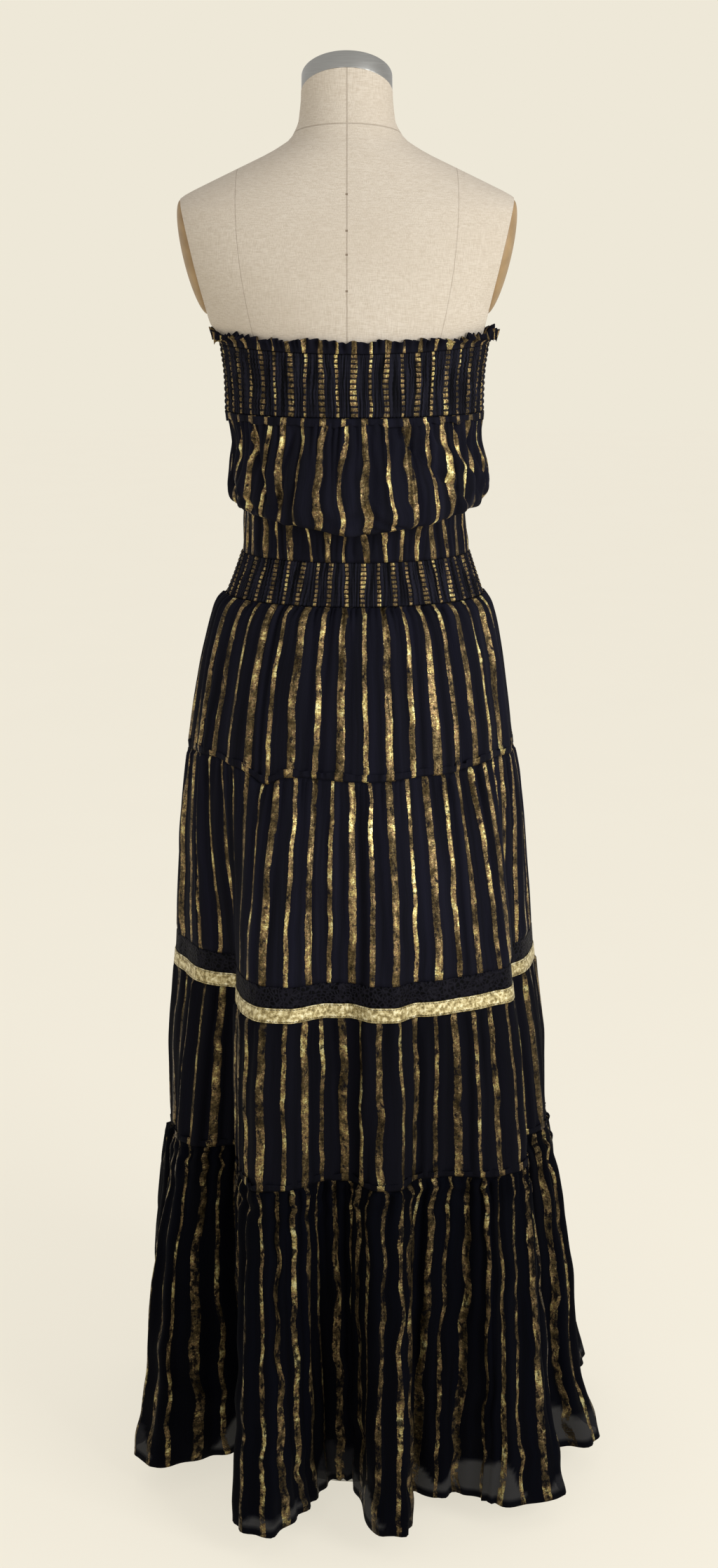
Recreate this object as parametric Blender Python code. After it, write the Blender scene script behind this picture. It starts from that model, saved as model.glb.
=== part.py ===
"""A strapless tiered maxi dress, worn by a limbless dress form on a plain stand.

The back of the dress faces -Y and the bust faces +Y. The stand's base rests on the floor at the origin.
Every cloth piece is a thin wall lofted through rings. A ring is an ellipse with its own reach to the left,
right, back and front, to which the hanging folds, the gathers and the smocking add their depths.
"""

import math

import bmesh
import bpy
import numpy as np
from mathutils import Matrix, Vector

# Heights of the seams above the floor, in metres
HEADING_TOP = 1.3735
BUST_TOP = 1.3620
BUST_BOTTOM = 1.2930
WAIST_TOP = 1.1340
WAIST_BOTTOM = 1.0850
SEAM_1 = 0.9020
LACE_TOP = 0.6770
RIBBON_TOP = 0.6535
RIBBON_BOTTOM = 0.6370
SEAM_3 = 0.4400
HEM = 0.0360
FRONT_RISE = 0.016  # the bust line runs this much higher in front than at the back
BODICE_SAG = 0.0220  # the blouse hangs this much lower at the centre back than at the sides
FRONT_SAG_SHARE = 0.5
SAG_SPAN = (0.15, 1.0)  # the share of the blouse's length that hangs, and how softly that starts and stops
SAG_EASE = 0.33
HEADING_UNEVEN = 0.0016  # the ruffled edge rises and falls by this much
HEADING_WAVES = ((1.0, 0.0028), (0.5, 0.0016), (0.0, 0.0))  # share of its height, depth of its waves there
HEADING_LEAN = (0.95, 0.10)  # how far the heading leans out for its height, at the sides and at the back

# Cloth
WALL = 0.0016
GAP = 0.0003
TRIM_WALL = 0.0022
FRILL_WALL = 0.0012
COLUMNS = 72  # points round a whole ring, half of them on each side of the side seams
POINTS_PER_GATHER = 4
GATHER_UNEVEN = 0.3  # the share of a gather's depth that differs from wave to wave
RIB_DEPTH = 0.0007
ELASTIC_DEPTH = 0.0005
BUST_ELASTICS = 4
WAIST_ELASTICS = 2
TRIM_GATHER = 0.0022
LACE_STAND_OFF = 0.0004
RIBBON_STAND_OFF = 0.0008
FRILL_LIFT = 0.00045  # clear of the cloth that a frill lies on
SHARP = math.radians(45)  # a crease sharper than this isn't shaded smooth

# The form and its stand
NECK_X = -0.0080
NECK_TILT = math.radians(29)
NECK_CUT = 1.6366
CAP_RADIUS = 0.0500
CAP_HEIGHT = 0.0215
CAP_EDGE = 0.0015
PLATE_TILT = math.radians(13.0)
PLATE_CENTRE = (0.1700, 0.002, 1.4620)
PLATE_SIZE = (0.0125, 0.0450, 0.0640)
FORM_BOTTOM = 0.9000
FORM_COLUMNS = 28
POLE_RADIUS = 0.0160
BASE_RADIUS = 0.1300
BASE_HEIGHT = 0.0140
BASE_EDGE = 0.0030

# Sections of each cloth piece, top to bottom: height, then reach to the left, right, back and front
BUST = (
    (BUST_TOP, 0.1515, 0.1515, 0.1130, 0.1330),
    (1.3300, 0.1470, 0.1470, 0.1120, 0.1360),
    (BUST_BOTTOM, 0.1460, 0.1460, 0.1110, 0.1340),
)
BODICE = (  # the blouse hangs over itself: it turns under at its sixth row and runs up inside to the seventh
    (BUST_BOTTOM, 0.1460, 0.1460, 0.1110, 0.1340),
    (1.2620, 0.1380, 0.1430, 0.1190, 0.1310),
    (1.2320, 0.1400, 0.1510, 0.1310, 0.1340),
    (1.2080, 0.1430, 0.1510, 0.1390, 0.1340),
    (1.1930, 0.1390, 0.1460, 0.1370, 0.1290),
    (1.1915, 0.1320, 0.1370, 0.1240, 0.1210),
    (1.1980, 0.1270, 0.1290, 0.1150, 0.1160),
    (1.1760, 0.1260, 0.1270, 0.1080, 0.1110),
    (WAIST_TOP, 0.1290, 0.1320, 0.1060, 0.1070),
)
WAIST = (
    (WAIST_TOP, 0.1290, 0.1320, 0.1060, 0.1070),
    (1.1100, 0.1375, 0.1400, 0.1095, 0.1098),
    (WAIST_BOTTOM, 0.1475, 0.1485, 0.1125, 0.1125),
)
TIER_1 = (
    (WAIST_BOTTOM, 0.1480, 0.1490, 0.1130, 0.1130),
    (1.0680, 0.1610, 0.1610, 0.1280, 0.1260),
    (1.0200, 0.1740, 0.1710, 0.1450, 0.1400),
    (0.9600, 0.1850, 0.1790, 0.1610, 0.1520),
    (SEAM_1, 0.1930, 0.1860, 0.1700, 0.1590),
)
TIER_2 = (
    (SEAM_1, 0.1930, 0.1860, 0.1700, 0.1590),
    (0.8400, 0.2020, 0.1980, 0.1650, 0.1680),
    (0.7600, 0.2080, 0.2060, 0.1530, 0.1780),
    (LACE_TOP, 0.2130, 0.2130, 0.1420, 0.1880),
)
LACE = (
    (LACE_TOP, 0.2130, 0.2130, 0.1420, 0.1880),
    (RIBBON_TOP, 0.2150, 0.2150, 0.1405, 0.1910),
)
RIBBON = (
    (RIBBON_TOP, 0.2150, 0.2150, 0.1405, 0.1910),
    (RIBBON_BOTTOM, 0.2170, 0.2170, 0.1400, 0.1930),
)
TIER_3 = (
    (RIBBON_BOTTOM, 0.2170, 0.2170, 0.1400, 0.1930),
    (0.5400, 0.2250, 0.2295, 0.1450, 0.2000),
    (SEAM_3, 0.2250, 0.2330, 0.1500, 0.2050),
)
TIER_4 = (
    (SEAM_3, 0.2250, 0.2330, 0.1500, 0.2050),
    (0.3900, 0.2330, 0.2430, 0.1560, 0.2130),
    (0.2700, 0.2445, 0.2545, 0.1640, 0.2220),
    (0.1400, 0.2385, 0.2530, 0.1700, 0.2320),
    (HEM, 0.2500, 0.2760, 0.1750, 0.2400),
)

# Gathers of each sewn panel: depth at its top, at its lower edge and halfway, and its rows of points
PANELS = (
    ("bodice", BODICE, 0.0000, 0.0000, 0.0026, 8),
    ("tier_1", TIER_1, 0.0010, 0.0030, 0.0000, 4),
    ("tier_2", TIER_2, 0.0030, 0.0022, 0.0000, 3),
    ("tier_3", TIER_3, 0.0022, 0.0025, 0.0000, 2),
    ("tier_4", TIER_4, 0.0035, 0.0060, 0.0000, 4),
)
# Narrow ruffles: the panel each lies on, the share of its length where the ruffle's foot and its edge lie,
# and the depth of the ruffle's waves and how far its edge flares
FRILLS = (
    ("bust_frill", "bodice", 0.002, 0.045, 0.0014, 0.0022),
    ("seam_frill_1", "tier_1", 0.995, 0.955, 0.0018, 0.0016),
    ("seam_frill_3", "tier_3", 0.995, 0.960, 0.0018, 0.0016),
)

# Hanging folds of the skirt. Angles in degrees: where the fold begins, is full from, is full to, and ends.
# Then its depth at the first tier seam, at the ribbon, at the third seam and at the hem.
FOLD_HEIGHTS = (SEAM_1, RIBBON_BOTTOM, SEAM_3, HEM)
FOLDS = (
    ("centre back panel", -144, -122, -44, -23, 0.000, 0.068, 0.060, 0.000),
    ("left side flute", -168, -156, -149, -140, 0.000, 0.008, 0.026, 0.070),
    ("left valley", -147, -139, -137, -128, 0.000, 0.000, -0.010, -0.036),
    ("left back flute", -129, -115, -108, -98, 0.000, 0.028, 0.036, 0.130),
    ("centre back flute", -92, -84, -79, -70, 0.000, 0.020, 0.032, 0.122),
    ("right back ripple", -76, -67, -65, -56, 0.000, 0.008, 0.006, 0.058),
    ("right back flute", -64, -50, -42, -29, 0.000, 0.002, 0.022, 0.112),
    ("right side flute", -28, -19, -14, -4, 0.000, 0.000, 0.012, 0.050),
    ("right front flute", 8, 22, 27, 42, 0.000, 0.004, 0.014, 0.060),
    ("right front ripple", 44, 54, 57, 68, 0.000, 0.008, 0.014, 0.046),
    ("centre front flute", 72, 84, 89, 102, 0.000, 0.010, 0.018, 0.072),
    ("left front ripple", 104, 114, 117, 128, 0.000, 0.006, 0.012, 0.048),
    ("left front flute", 130, 142, 147, 160, 0.000, 0.006, 0.018, 0.066),
)

# Sections of the form: height, centre, half-width, back and front, before the arms and neck are cut off
FORM = (
    (FORM_BOTTOM, 0.000, 0.1480, 0.1000, 0.0980),
    (0.9250, 0.000, 0.1600, 0.1090, 0.1060),
    (1.0000, 0.000, 0.1600, 0.1100, 0.1060),
    (1.0500, 0.000, 0.1480, 0.1080, 0.1050),
    (WAIST_BOTTOM, 0.000, 0.1384, 0.1094, 0.1094),
    (WAIST_TOP, 0.000, 0.1264, 0.1034, 0.1044),
    (1.1720, 0.000, 0.1220, 0.1010, 0.1040),
    (1.2200, 0.000, 0.1235, 0.1020, 0.1130),
    (1.2600, 0.000, 0.1300, 0.1050, 0.1250),
    (BUST_BOTTOM, 0.000, 0.1436, 0.1086, 0.1316),
    (1.3300, 0.000, 0.1447, 0.1097, 0.1337),
    (BUST_TOP, 0.000, 0.1462, 0.1107, 0.1300),
    (1.3740, -0.001, 0.1486, 0.1107, 0.1270),
    (1.3900, -0.003, 0.1600, 0.1110, 0.1230),
    (1.4150, -0.005, 0.1700, 0.1100, 0.1150),
    (1.4500, -0.007, 0.1900, 0.1060, 0.1040),
    (1.4900, -0.007, 0.2020, 0.0980, 0.0920),
    (1.5150, -0.007, 0.2000, 0.0900, 0.0820),
    (1.5300, -0.007, 0.1800, 0.0840, 0.0740),
    (1.5460, -0.007, 0.1460, 0.0780, 0.0660),
    (1.5600, -0.007, 0.1160, 0.0720, 0.0590),
    (1.5740, -0.007, 0.0860, 0.0660, 0.0530),
    (1.5880, -0.007, 0.0630, 0.0580, 0.0480),
    (1.6050, -0.008, 0.0535, 0.0510, 0.0460),
    (1.6300, -0.008, 0.0505, 0.0450, 0.0445),
    (1.6800, -0.008, 0.0500, 0.0437, 0.0437),
)


def clear_scene():
    for thing in list(bpy.data.objects):
        bpy.data.objects.remove(thing, do_unlink=True)


def new_material(name, colour, roughness, metallic=0.0):
    material = bpy.data.materials.new(name)
    material.use_nodes = True
    shader = material.node_tree.nodes["Principled BSDF"]
    shader.inputs["Base Color"].default_value = (*colour, 1.0)
    shader.inputs["Roughness"].default_value = roughness
    shader.inputs["Metallic"].default_value = metallic
    return material


def place(name, mesh, material, collection):
    mesh.materials.append(material)
    thing = bpy.data.objects.new(name, mesh)
    collection.objects.link(thing)
    return thing


def curve_through(heights, values, height):
    """The value at a height, on a smooth curve through the rows of a table."""
    heights, values = np.asarray(heights, float), np.asarray(values, float)
    if heights[0] > heights[-1]:
        heights, values = heights[::-1], values[::-1]
    slopes = np.gradient(values, heights)
    row = int(np.clip(np.searchsorted(heights, height) - 1, 0, len(heights) - 2))
    span = heights[row + 1] - heights[row]
    t = min(max((height - heights[row]) / span, 0.0), 1.0)
    return (
        values[row] * (2 * t**3 - 3 * t**2 + 1)
        + values[row + 1] * (3 * t**2 - 2 * t**3)
        + slopes[row] * span * (t**3 - 2 * t**2 + t)
        + slopes[row + 1] * span * (t**3 - t**2)
    )


def section_at(rows, along):
    """A piece's height and its four reaches, at a place from 0 at its top row to 1 at its lowest."""
    steps = np.linspace(0.0, 1.0, len(rows))
    if len(rows) == 2:
        return [float(np.interp(along, steps, column)) for column in zip(*rows)]
    return [curve_through(steps, column, along) for column in zip(*rows)]


def ease(t):
    t = min(max(t, 0.0), 1.0)
    return t * t * (3 - 2 * t)


def fold_depth(degrees, height):
    """How far the skirt's hanging folds stand out of the plain section."""
    total = 0.0
    if height >= SEAM_1:
        return total
    for _name, begin, full, full_to, end, *depths in FOLDS:
        if begin < degrees < end:
            share = ease((degrees - begin) / (full - begin)) * ease((end - degrees) / (end - full_to))
            total += share * curve_through(FOLD_HEIGHTS, depths, max(height, HEM))
    return total


def ring_point(rows, along, degrees, outward):
    """A point of a cloth piece's outer surface; 0 degrees is the right side and -90 the back."""
    height, left, right, back, front = section_at(rows, along)
    across, away = math.cos(math.radians(degrees)), math.sin(math.radians(degrees))
    side = right if across > 0 else left
    depth = front if away > 0 else back
    radius = 1.0 / math.hypot(across / side, away / depth) + fold_depth(degrees, height) + outward
    return Vector((radius * across, radius * away, height))


class Piece:
    """One cloth piece's outer surface, with its gathers, as a function of places round it and down it.

    A place round it runs from 0 to 1 on the back, left to right, and from 1 to 2 on the front, right to left.
    Columns are an equal length of cloth apart along the piece's lower edge.
    """

    WAVE_TO_WAVE = 2.4  # radians that turn a wave's number into its own share of depth
    FINE_STEPS = 720  # steps in which the length of the lower edge is measured
    NEAR = 0.004  # the steps round and down in which the surface's slope is read
    BELOW = 0.02

    def __init__(self, rows, gather_top=0.0, gather_low=0.0, belly=0.0, rise=0.0, sag=0.0):
        self.rows = rows
        self.gather_top, self.gather_low, self.belly = gather_top, gather_low, belly
        self.rise, self.sag = rise, sag
        self.angles = [self.spaced(-180.0, 0.0), self.spaced(0.0, 180.0)]

    def spaced(self, first, last):
        """Angles of evenly spaced points along the lower edge of one half."""
        angles = np.linspace(first, last, self.FINE_STEPS + 1)
        edge = np.array([ring_point(self.rows, 1.0, a, 0.0)[:] for a in angles])
        run = np.concatenate([[0.0], np.cumsum(np.linalg.norm(np.diff(edge, axis=0), axis=1))])
        return np.interp(np.linspace(0.0, run[-1], self.FINE_STEPS + 1), run, angles)

    def degrees(self, around):
        half = self.angles[0] if around < 1.0 else self.angles[1]
        part = around if around < 1.0 else around - 1.0
        return float(np.interp(part, np.linspace(0.0, 1.0, len(half)), half))

    def gather(self, around, along):
        """Soft waves, deepest where the cloth is drawn in; each wave has its own depth."""
        waves = around * (COLUMNS / 2) / POINTS_PER_GATHER
        depth = self.gather_top + (self.gather_low - self.gather_top) * along
        depth += self.belly * math.sin(math.pi * along) ** 2
        own = 1.0 - GATHER_UNEVEN + GATHER_UNEVEN * math.sin(self.WAVE_TO_WAVE * math.floor(waves))
        return depth * own * math.sin(2 * math.pi * waves)

    def point(self, around, along):
        degrees = self.degrees(around % 2.0)
        where = ring_point(self.rows, along, degrees, self.gather(around % 2.0, along))
        forward = math.sin(math.radians(degrees))
        where.z += self.rise * (1 - along) * (1 + forward) / 2
        hanging = ease((along - SAG_SPAN[0]) / SAG_EASE) * ease((SAG_SPAN[1] - along) / SAG_EASE)
        where.z -= self.sag * hanging * forward**2 * (1.0 if forward < 0 else FRONT_SAG_SHARE)
        return where

    def normal(self, around, along, level):
        """Outward; where two pieces meet it is kept level, so that their edges stay parallel."""
        across = self.point(around + self.NEAR, along) - self.point(around - self.NEAR, along)
        low, high = min(along + self.BELOW, 1.0), max(along - self.BELOW, 0.0)
        outward = across.cross(self.point(around, high) - self.point(around, low))
        if level:
            outward.z = 0.0
        return outward.normalized()

    def half_gap(self, around):
        """Half of the gap at a seam, as a share of the piece's length."""
        return GAP / 2 / (self.point(around, 0.0) - self.point(around, 1.0)).length


def loft_wall(name, outer, inner, closed):
    """One closed solid between an outer and an inner grid of points, joined along every free edge."""
    shape = bmesh.new()
    skins = [[[shape.verts.new(p) for p in row] for row in grid] for grid in (outer, inner)]
    count = len(outer[0])
    steps = range(count if closed else count - 1)
    for skin, flip in zip(skins, (False, True)):
        for upper, lower in zip(skin, skin[1:]):
            for k in steps:
                corners = (upper[k], lower[k], lower[(k + 1) % count], upper[(k + 1) % count])
                shape.faces.new(corners[::-1] if flip else corners)
    for row, flip in ((0, True), (-1, False)):
        out, into = skins[0][row], skins[1][row]
        for k in steps:
            corners = (out[k], into[k], into[(k + 1) % count], out[(k + 1) % count])
            shape.faces.new(corners[::-1] if flip else corners)
    if not closed:
        join_side_edges(shape, skins)
    bmesh.ops.recalc_face_normals(shape, faces=shape.faces)
    return finished(name, shape)


def finished(name, shape):
    """The mesh of a shape, shaded smooth apart from its creases."""
    mesh = bpy.data.meshes.new(name)
    shape.to_mesh(mesh)
    shape.free()
    mesh.shade_smooth()
    mesh.set_sharp_from_angle(angle=SHARP)
    return mesh


def join_side_edges(shape, skins):
    """Closes the two upright edges of a half panel. Its skins have the same rows."""
    for column in (0, -1):
        for out, below, into, below_in in zip(skins[0], skins[0][1:], skins[1], skins[1][1:]):
            shape.faces.new((out[column], into[column], below_in[column], below[column]))


def half_columns(piece, half):
    """Places round one half, kept half a gap short of each side seam."""
    places = np.linspace(0.0, 1.0, COLUMNS // 2 + 1)
    width = (piece.point(half + places[1], 1.0) - piece.point(half, 1.0)).length / places[1]
    short = GAP / 2 / width
    places[0], places[-1] = short, 1.0 - short
    return [half + float(p) for p in places]


def half_panel(name, piece, half, row_count):
    """The front or the back of a piece, half a gap short of the pieces above, below and beside it."""
    rows = np.linspace(0.0, 1.0, row_count + 1)
    rows[0] = piece.half_gap(half + 0.5)
    rows[-1] = 1.0 - rows[0]
    outer, inner = [], []
    for index, along in enumerate(rows):
        ends = index in (0, row_count)
        line = [(piece.point(u, along), piece.normal(u, along, ends)) for u in half_columns(piece, half)]
        outer.append([p for p, _ in line])
        inner.append([p - n * WALL for p, n in line])
    return loft_wall(name, outer, inner, closed=False)


def whole_columns():
    return [2.0 * k / COLUMNS for k in range(COLUMNS)]


def trim_band(name, piece, stand_off):
    """A strip of trim that runs all round and stands a little proud of the tiers above and below it."""
    short = piece.half_gap(0.5)
    outer, inner = [], []
    for along in (short, 1.0 - short):
        line = [(piece.point(u, along), piece.normal(u, along, True)) for u in whole_columns()]
        outer.append([p + n * stand_off for p, n in line])
        inner.append([p - n * (TRIM_WALL - stand_off) for p, n in line])
    return loft_wall(name, outer, inner, closed=True)


def smocked_band(name, piece, elastic_rows):
    """Upright pleats, drawn in at each row of elastic, stand on the outside of a plain inner wall."""
    edges = (piece.half_gap(0.5), 1.0 - piece.half_gap(0.5))
    outer = []
    for index, along in enumerate(np.linspace(*edges, 2 * elastic_rows + 1)):
        ring = []
        for k, around in enumerate(whole_columns()):
            raised = RIB_DEPTH * (1 if k % 2 else -1) + ELASTIC_DEPTH * (1 if index % 2 else -1)
            ring.append(piece.point(around, along) + piece.normal(around, along, True) * raised)
        outer.append(ring)
    inner = [
        [piece.point(u, a) - piece.normal(u, a, True) * WALL for u in whole_columns()]
        for a in (edges[0], 0.5, edges[1])
    ]
    return loft_wall(name, outer, inner, closed=True)


def frill(name, piece, foot_along, edge_along, wave, flare):
    """A narrow ruffle that lies on a piece, its points moved out from that piece's own points."""
    outer, inner = [], []
    for along, spread in ((edge_along, flare), (foot_along, 0.0)):
        line, under = [], []
        for k, around in enumerate(whole_columns()):
            foot = piece.point(around, along)
            normal = piece.normal(around, along, True)
            out = FRILL_LIFT + spread + wave * (k % 2)
            under.append(foot + normal * out)
            line.append(foot + normal * (out + FRILL_WALL))
        outer.append(line)
        inner.append(under)
    return loft_wall(name, outer, inner, closed=True)


def heading(name, piece):
    """The ruffled edge that stands on the bust band, waved on both faces."""
    outer, inner = [], []
    for share, wave in HEADING_WAVES:
        line, under = [], []
        for k, around in enumerate(whole_columns()):
            lift = (HEADING_TOP - BUST_TOP) * share
            uneven = HEADING_UNEVEN * share * math.sin(piece.WAVE_TO_WAVE * k)
            foot = piece.point(around, 0.0) + Vector((0, 0, lift + uneven + GAP / 2))
            normal = piece.normal(around, 0.0, True)
            lean = HEADING_LEAN[1] + (HEADING_LEAN[0] - HEADING_LEAN[1]) * normal.x**2
            out = wave * (k % 2) + lift * lean
            line.append(foot + normal * out)
            under.append(foot + normal * (out - FRILL_WALL))
        outer.append(line)
        inner.append(under)
    return loft_wall(name, outer, inner, closed=True)


def keep_side(shape, point, normal):
    """Cuts a shape by a plane, drops what lies on the normal's side, and closes the cut."""
    bmesh.ops.bisect_plane(
        shape,
        geom=shape.verts[:] + shape.edges[:] + shape.faces[:],
        plane_co=point,
        plane_no=normal,
        clear_outer=True,
    )
    bmesh.ops.holes_fill(shape, edges=[e for e in shape.edges if e.is_boundary])


def plate_frame(side):
    """Centre and outward direction of an armhole, on the right for +1 and on the left for -1."""
    x, y, z = PLATE_CENTRE
    centre = Vector((NECK_X + side * x, y, z))
    outward = Vector((side * math.cos(PLATE_TILT), 0.0, -math.sin(PLATE_TILT)))
    return centre, outward


def form_torso(name):
    """A smooth torso whose arms are cut off flat and whose neck is cut on a slant."""
    shape = bmesh.new()
    rings = []
    for height, centre, half, back, front in FORM:
        ring = []
        for k in range(FORM_COLUMNS):
            angle = 2 * math.pi * k / FORM_COLUMNS
            across, away = math.cos(angle), math.sin(angle)
            depth = front if away > 0 else back
            radius = 1.0 / math.hypot(across / half, away / depth)
            ring.append(shape.verts.new((centre + radius * across, radius * away, height)))
        rings.append(ring)
    for lower, upper in zip(rings, rings[1:]):
        for k in range(FORM_COLUMNS):
            after = (k + 1) % FORM_COLUMNS
            shape.faces.new((lower[k], lower[after], upper[after], upper[k]))
    shape.faces.new(rings[0][::-1])
    shape.faces.new(rings[-1])
    for side in (1, -1):
        centre, outward = plate_frame(side)
        keep_side(shape, centre, outward)
    keep_side(shape, Vector((NECK_X, 0.0, NECK_CUT)), neck_axis())
    bmesh.ops.recalc_face_normals(shape, faces=shape.faces)
    return finished(name, shape)


def neck_axis():
    """Upwards along the neck cap: its back edge is the higher one."""
    return Vector((0.0, math.sin(NECK_TILT), math.cos(NECK_TILT)))


def arm_plate(name, side):
    """A shallow oval dome, flat where it lies on the cut armhole."""
    shape = bmesh.new()
    bmesh.ops.create_uvsphere(shape, u_segments=16, v_segments=10, radius=1.0)
    bmesh.ops.rotate(shape, verts=shape.verts, cent=(0, 0, 0), matrix=Matrix.Rotation(math.pi / 2, 3, "Y"))
    bmesh.ops.scale(shape, verts=shape.verts, vec=PLATE_SIZE)
    keep_side(shape, Vector((0, 0, 0)), Vector((-1, 0, 0)))
    centre, outward = plate_frame(1)
    turn = Vector((1, 0, 0)).rotation_difference(outward).to_matrix()
    bmesh.ops.rotate(shape, verts=shape.verts, cent=(0, 0, 0), matrix=turn)
    bmesh.ops.translate(shape, verts=shape.verts, vec=centre + outward * GAP)
    if side < 0:
        mirror = Matrix.Translation((2 * NECK_X, 0, 0)) @ Matrix.Scale(-1, 4, Vector((1, 0, 0)))
        bmesh.ops.transform(shape, verts=shape.verts, matrix=mirror)
    bmesh.ops.recalc_face_normals(shape, faces=shape.faces)
    return finished(name, shape)


def round_bar(name, radius, low, axis, length, segments, bevel):
    """A round bar or disc along an axis, its rims softly rounded."""
    shape = bmesh.new()
    bmesh.ops.create_cone(
        shape, cap_ends=True, segments=segments, radius1=radius, radius2=radius, depth=length
    )
    if bevel:
        rims = [e for e in shape.edges if abs(e.verts[0].co.z - e.verts[1].co.z) < length / 2]
        bmesh.ops.bevel(
            shape, geom=rims, offset=bevel, segments=2, profile=0.5, affect="EDGES", material=-1
        )
    turn = Vector((0, 0, 1)).rotation_difference(axis).to_matrix()
    bmesh.ops.rotate(shape, verts=shape.verts, cent=(0, 0, 0), matrix=turn)
    bmesh.ops.translate(shape, verts=shape.verts, vec=low + axis * length / 2)
    return finished(name, shape)


def build_stand(collection):
    steel = new_material("brushed_steel", (0.36, 0.35, 0.33), 0.35, 1.0)
    linen = new_material("linen_canvas", (0.62, 0.53, 0.42), 0.85)
    board = new_material("tan_board", (0.36, 0.21, 0.10), 0.6)
    up = Vector((0, 0, 1))
    base = round_bar("stand_base", BASE_RADIUS, Vector((0, 0, 0)), up, BASE_HEIGHT, 36, BASE_EDGE)
    place("stand_base", base, steel, collection)
    foot = Vector((0, 0, BASE_HEIGHT + GAP))
    pole = round_bar("stand_pole", POLE_RADIUS, foot, up, FORM_BOTTOM - GAP - foot.z, 20, 0.0)
    place("stand_pole", pole, steel, collection)
    place("form_torso", form_torso("form_torso"), linen, collection)
    neck = Vector((NECK_X, 0.0, NECK_CUT)) + neck_axis() * GAP
    cap = round_bar("neck_cap", CAP_RADIUS, neck, neck_axis(), CAP_HEIGHT, 28, CAP_EDGE)
    place("neck_cap", cap, steel, collection)
    for name, side in (("arm_plate_right", 1), ("arm_plate_left", -1)):
        place(name, arm_plate(name, side), board, collection)


def build_dress(collection):
    cloth = new_material("striped_cotton", (0.012, 0.013, 0.022), 0.8)
    ribbon = new_material("metallic_ribbon", (0.60, 0.45, 0.18), 0.45, 0.6)
    lace = new_material("crochet_lace", (0.008, 0.008, 0.010), 0.9)

    bust = Piece(BUST, rise=FRONT_RISE)
    place("bust_heading", heading("bust_heading", bust), cloth, collection)
    place("bust_band", smocked_band("bust_band", bust, BUST_ELASTICS), cloth, collection)
    place("waist_band", smocked_band("waist_band", Piece(WAIST), WAIST_ELASTICS), cloth, collection)
    panels = {}
    for name, rows, top, low, belly, row_count in PANELS:
        sag = BODICE_SAG if name == "bodice" else 0.0
        panels[name] = Piece(rows, top, low, belly, sag=sag)
        for half, side in ((0, "back"), (1, "front")):
            node = f"{name}_{side}"
            place(node, half_panel(node, panels[name], half, row_count), cloth, collection)
    for name, panel, foot, edge, wave, flare in FRILLS:
        place(name, frill(name, panels[panel], foot, edge, wave, flare), cloth, collection)
    for name, rows, stand_off, material in (
        ("lace_band", LACE, LACE_STAND_OFF, lace),
        ("gold_ribbon", RIBBON, RIBBON_STAND_OFF, ribbon),
    ):
        place(name, trim_band(name, Piece(rows, TRIM_GATHER, TRIM_GATHER), stand_off), material, collection)


def main():
    clear_scene()
    collection = bpy.data.collections.new("tiered_dress_on_form")
    bpy.context.scene.collection.children.link(collection)
    build_stand(collection)
    build_dress(collection)


main()
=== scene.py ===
"""Looks of a strapless tiered maxi dress on a limbless dress form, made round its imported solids.

The back of the dress faces -Y, where the camera stands. Each cloth piece is a thin sheet: a flat grid, with
its cut in metres as its UV map, is laid on the sections and hanging folds of its solid, then gathered.
"""

import math
from functools import partial

import bmesh
import bpy
import numpy as np
from mathutils import Matrix, Vector

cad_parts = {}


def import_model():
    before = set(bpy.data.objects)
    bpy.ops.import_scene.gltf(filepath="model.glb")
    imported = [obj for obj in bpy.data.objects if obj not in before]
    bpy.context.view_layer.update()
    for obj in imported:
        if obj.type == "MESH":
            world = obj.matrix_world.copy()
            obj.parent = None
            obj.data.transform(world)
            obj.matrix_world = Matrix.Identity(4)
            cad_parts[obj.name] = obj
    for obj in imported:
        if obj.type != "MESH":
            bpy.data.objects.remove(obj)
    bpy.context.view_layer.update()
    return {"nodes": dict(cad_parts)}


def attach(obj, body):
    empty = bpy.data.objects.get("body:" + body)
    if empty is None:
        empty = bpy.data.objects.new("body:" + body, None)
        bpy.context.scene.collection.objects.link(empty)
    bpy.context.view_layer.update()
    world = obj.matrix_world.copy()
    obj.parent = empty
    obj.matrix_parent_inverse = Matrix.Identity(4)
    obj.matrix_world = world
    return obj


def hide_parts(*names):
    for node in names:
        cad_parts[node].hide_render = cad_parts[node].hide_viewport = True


# Heights of the seams above the floor, in metres, as in the solids
HEADING_TOP = 1.3735
BUST_TOP = 1.3620
BUST_BOTTOM = 1.2930
WAIST_TOP = 1.1340
WAIST_BOTTOM = 1.0850
SEAM_1 = 0.9020
LACE_TOP = 0.6770
RIBBON_TOP = 0.6535
RIBBON_BOTTOM = 0.6370
SEAM_3 = 0.4400
HEM = 0.0360
FRONT_RISE = 0.016  # the bust line runs this much higher in front than at the back
BODICE_SAG = 0.0220  # the blouse hangs this much lower at the centre back than at the sides
FRONT_SAG_SHARE = 0.5
SAG_SPAN = (0.15, 1.0)
SAG_EASE = 0.33

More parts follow.
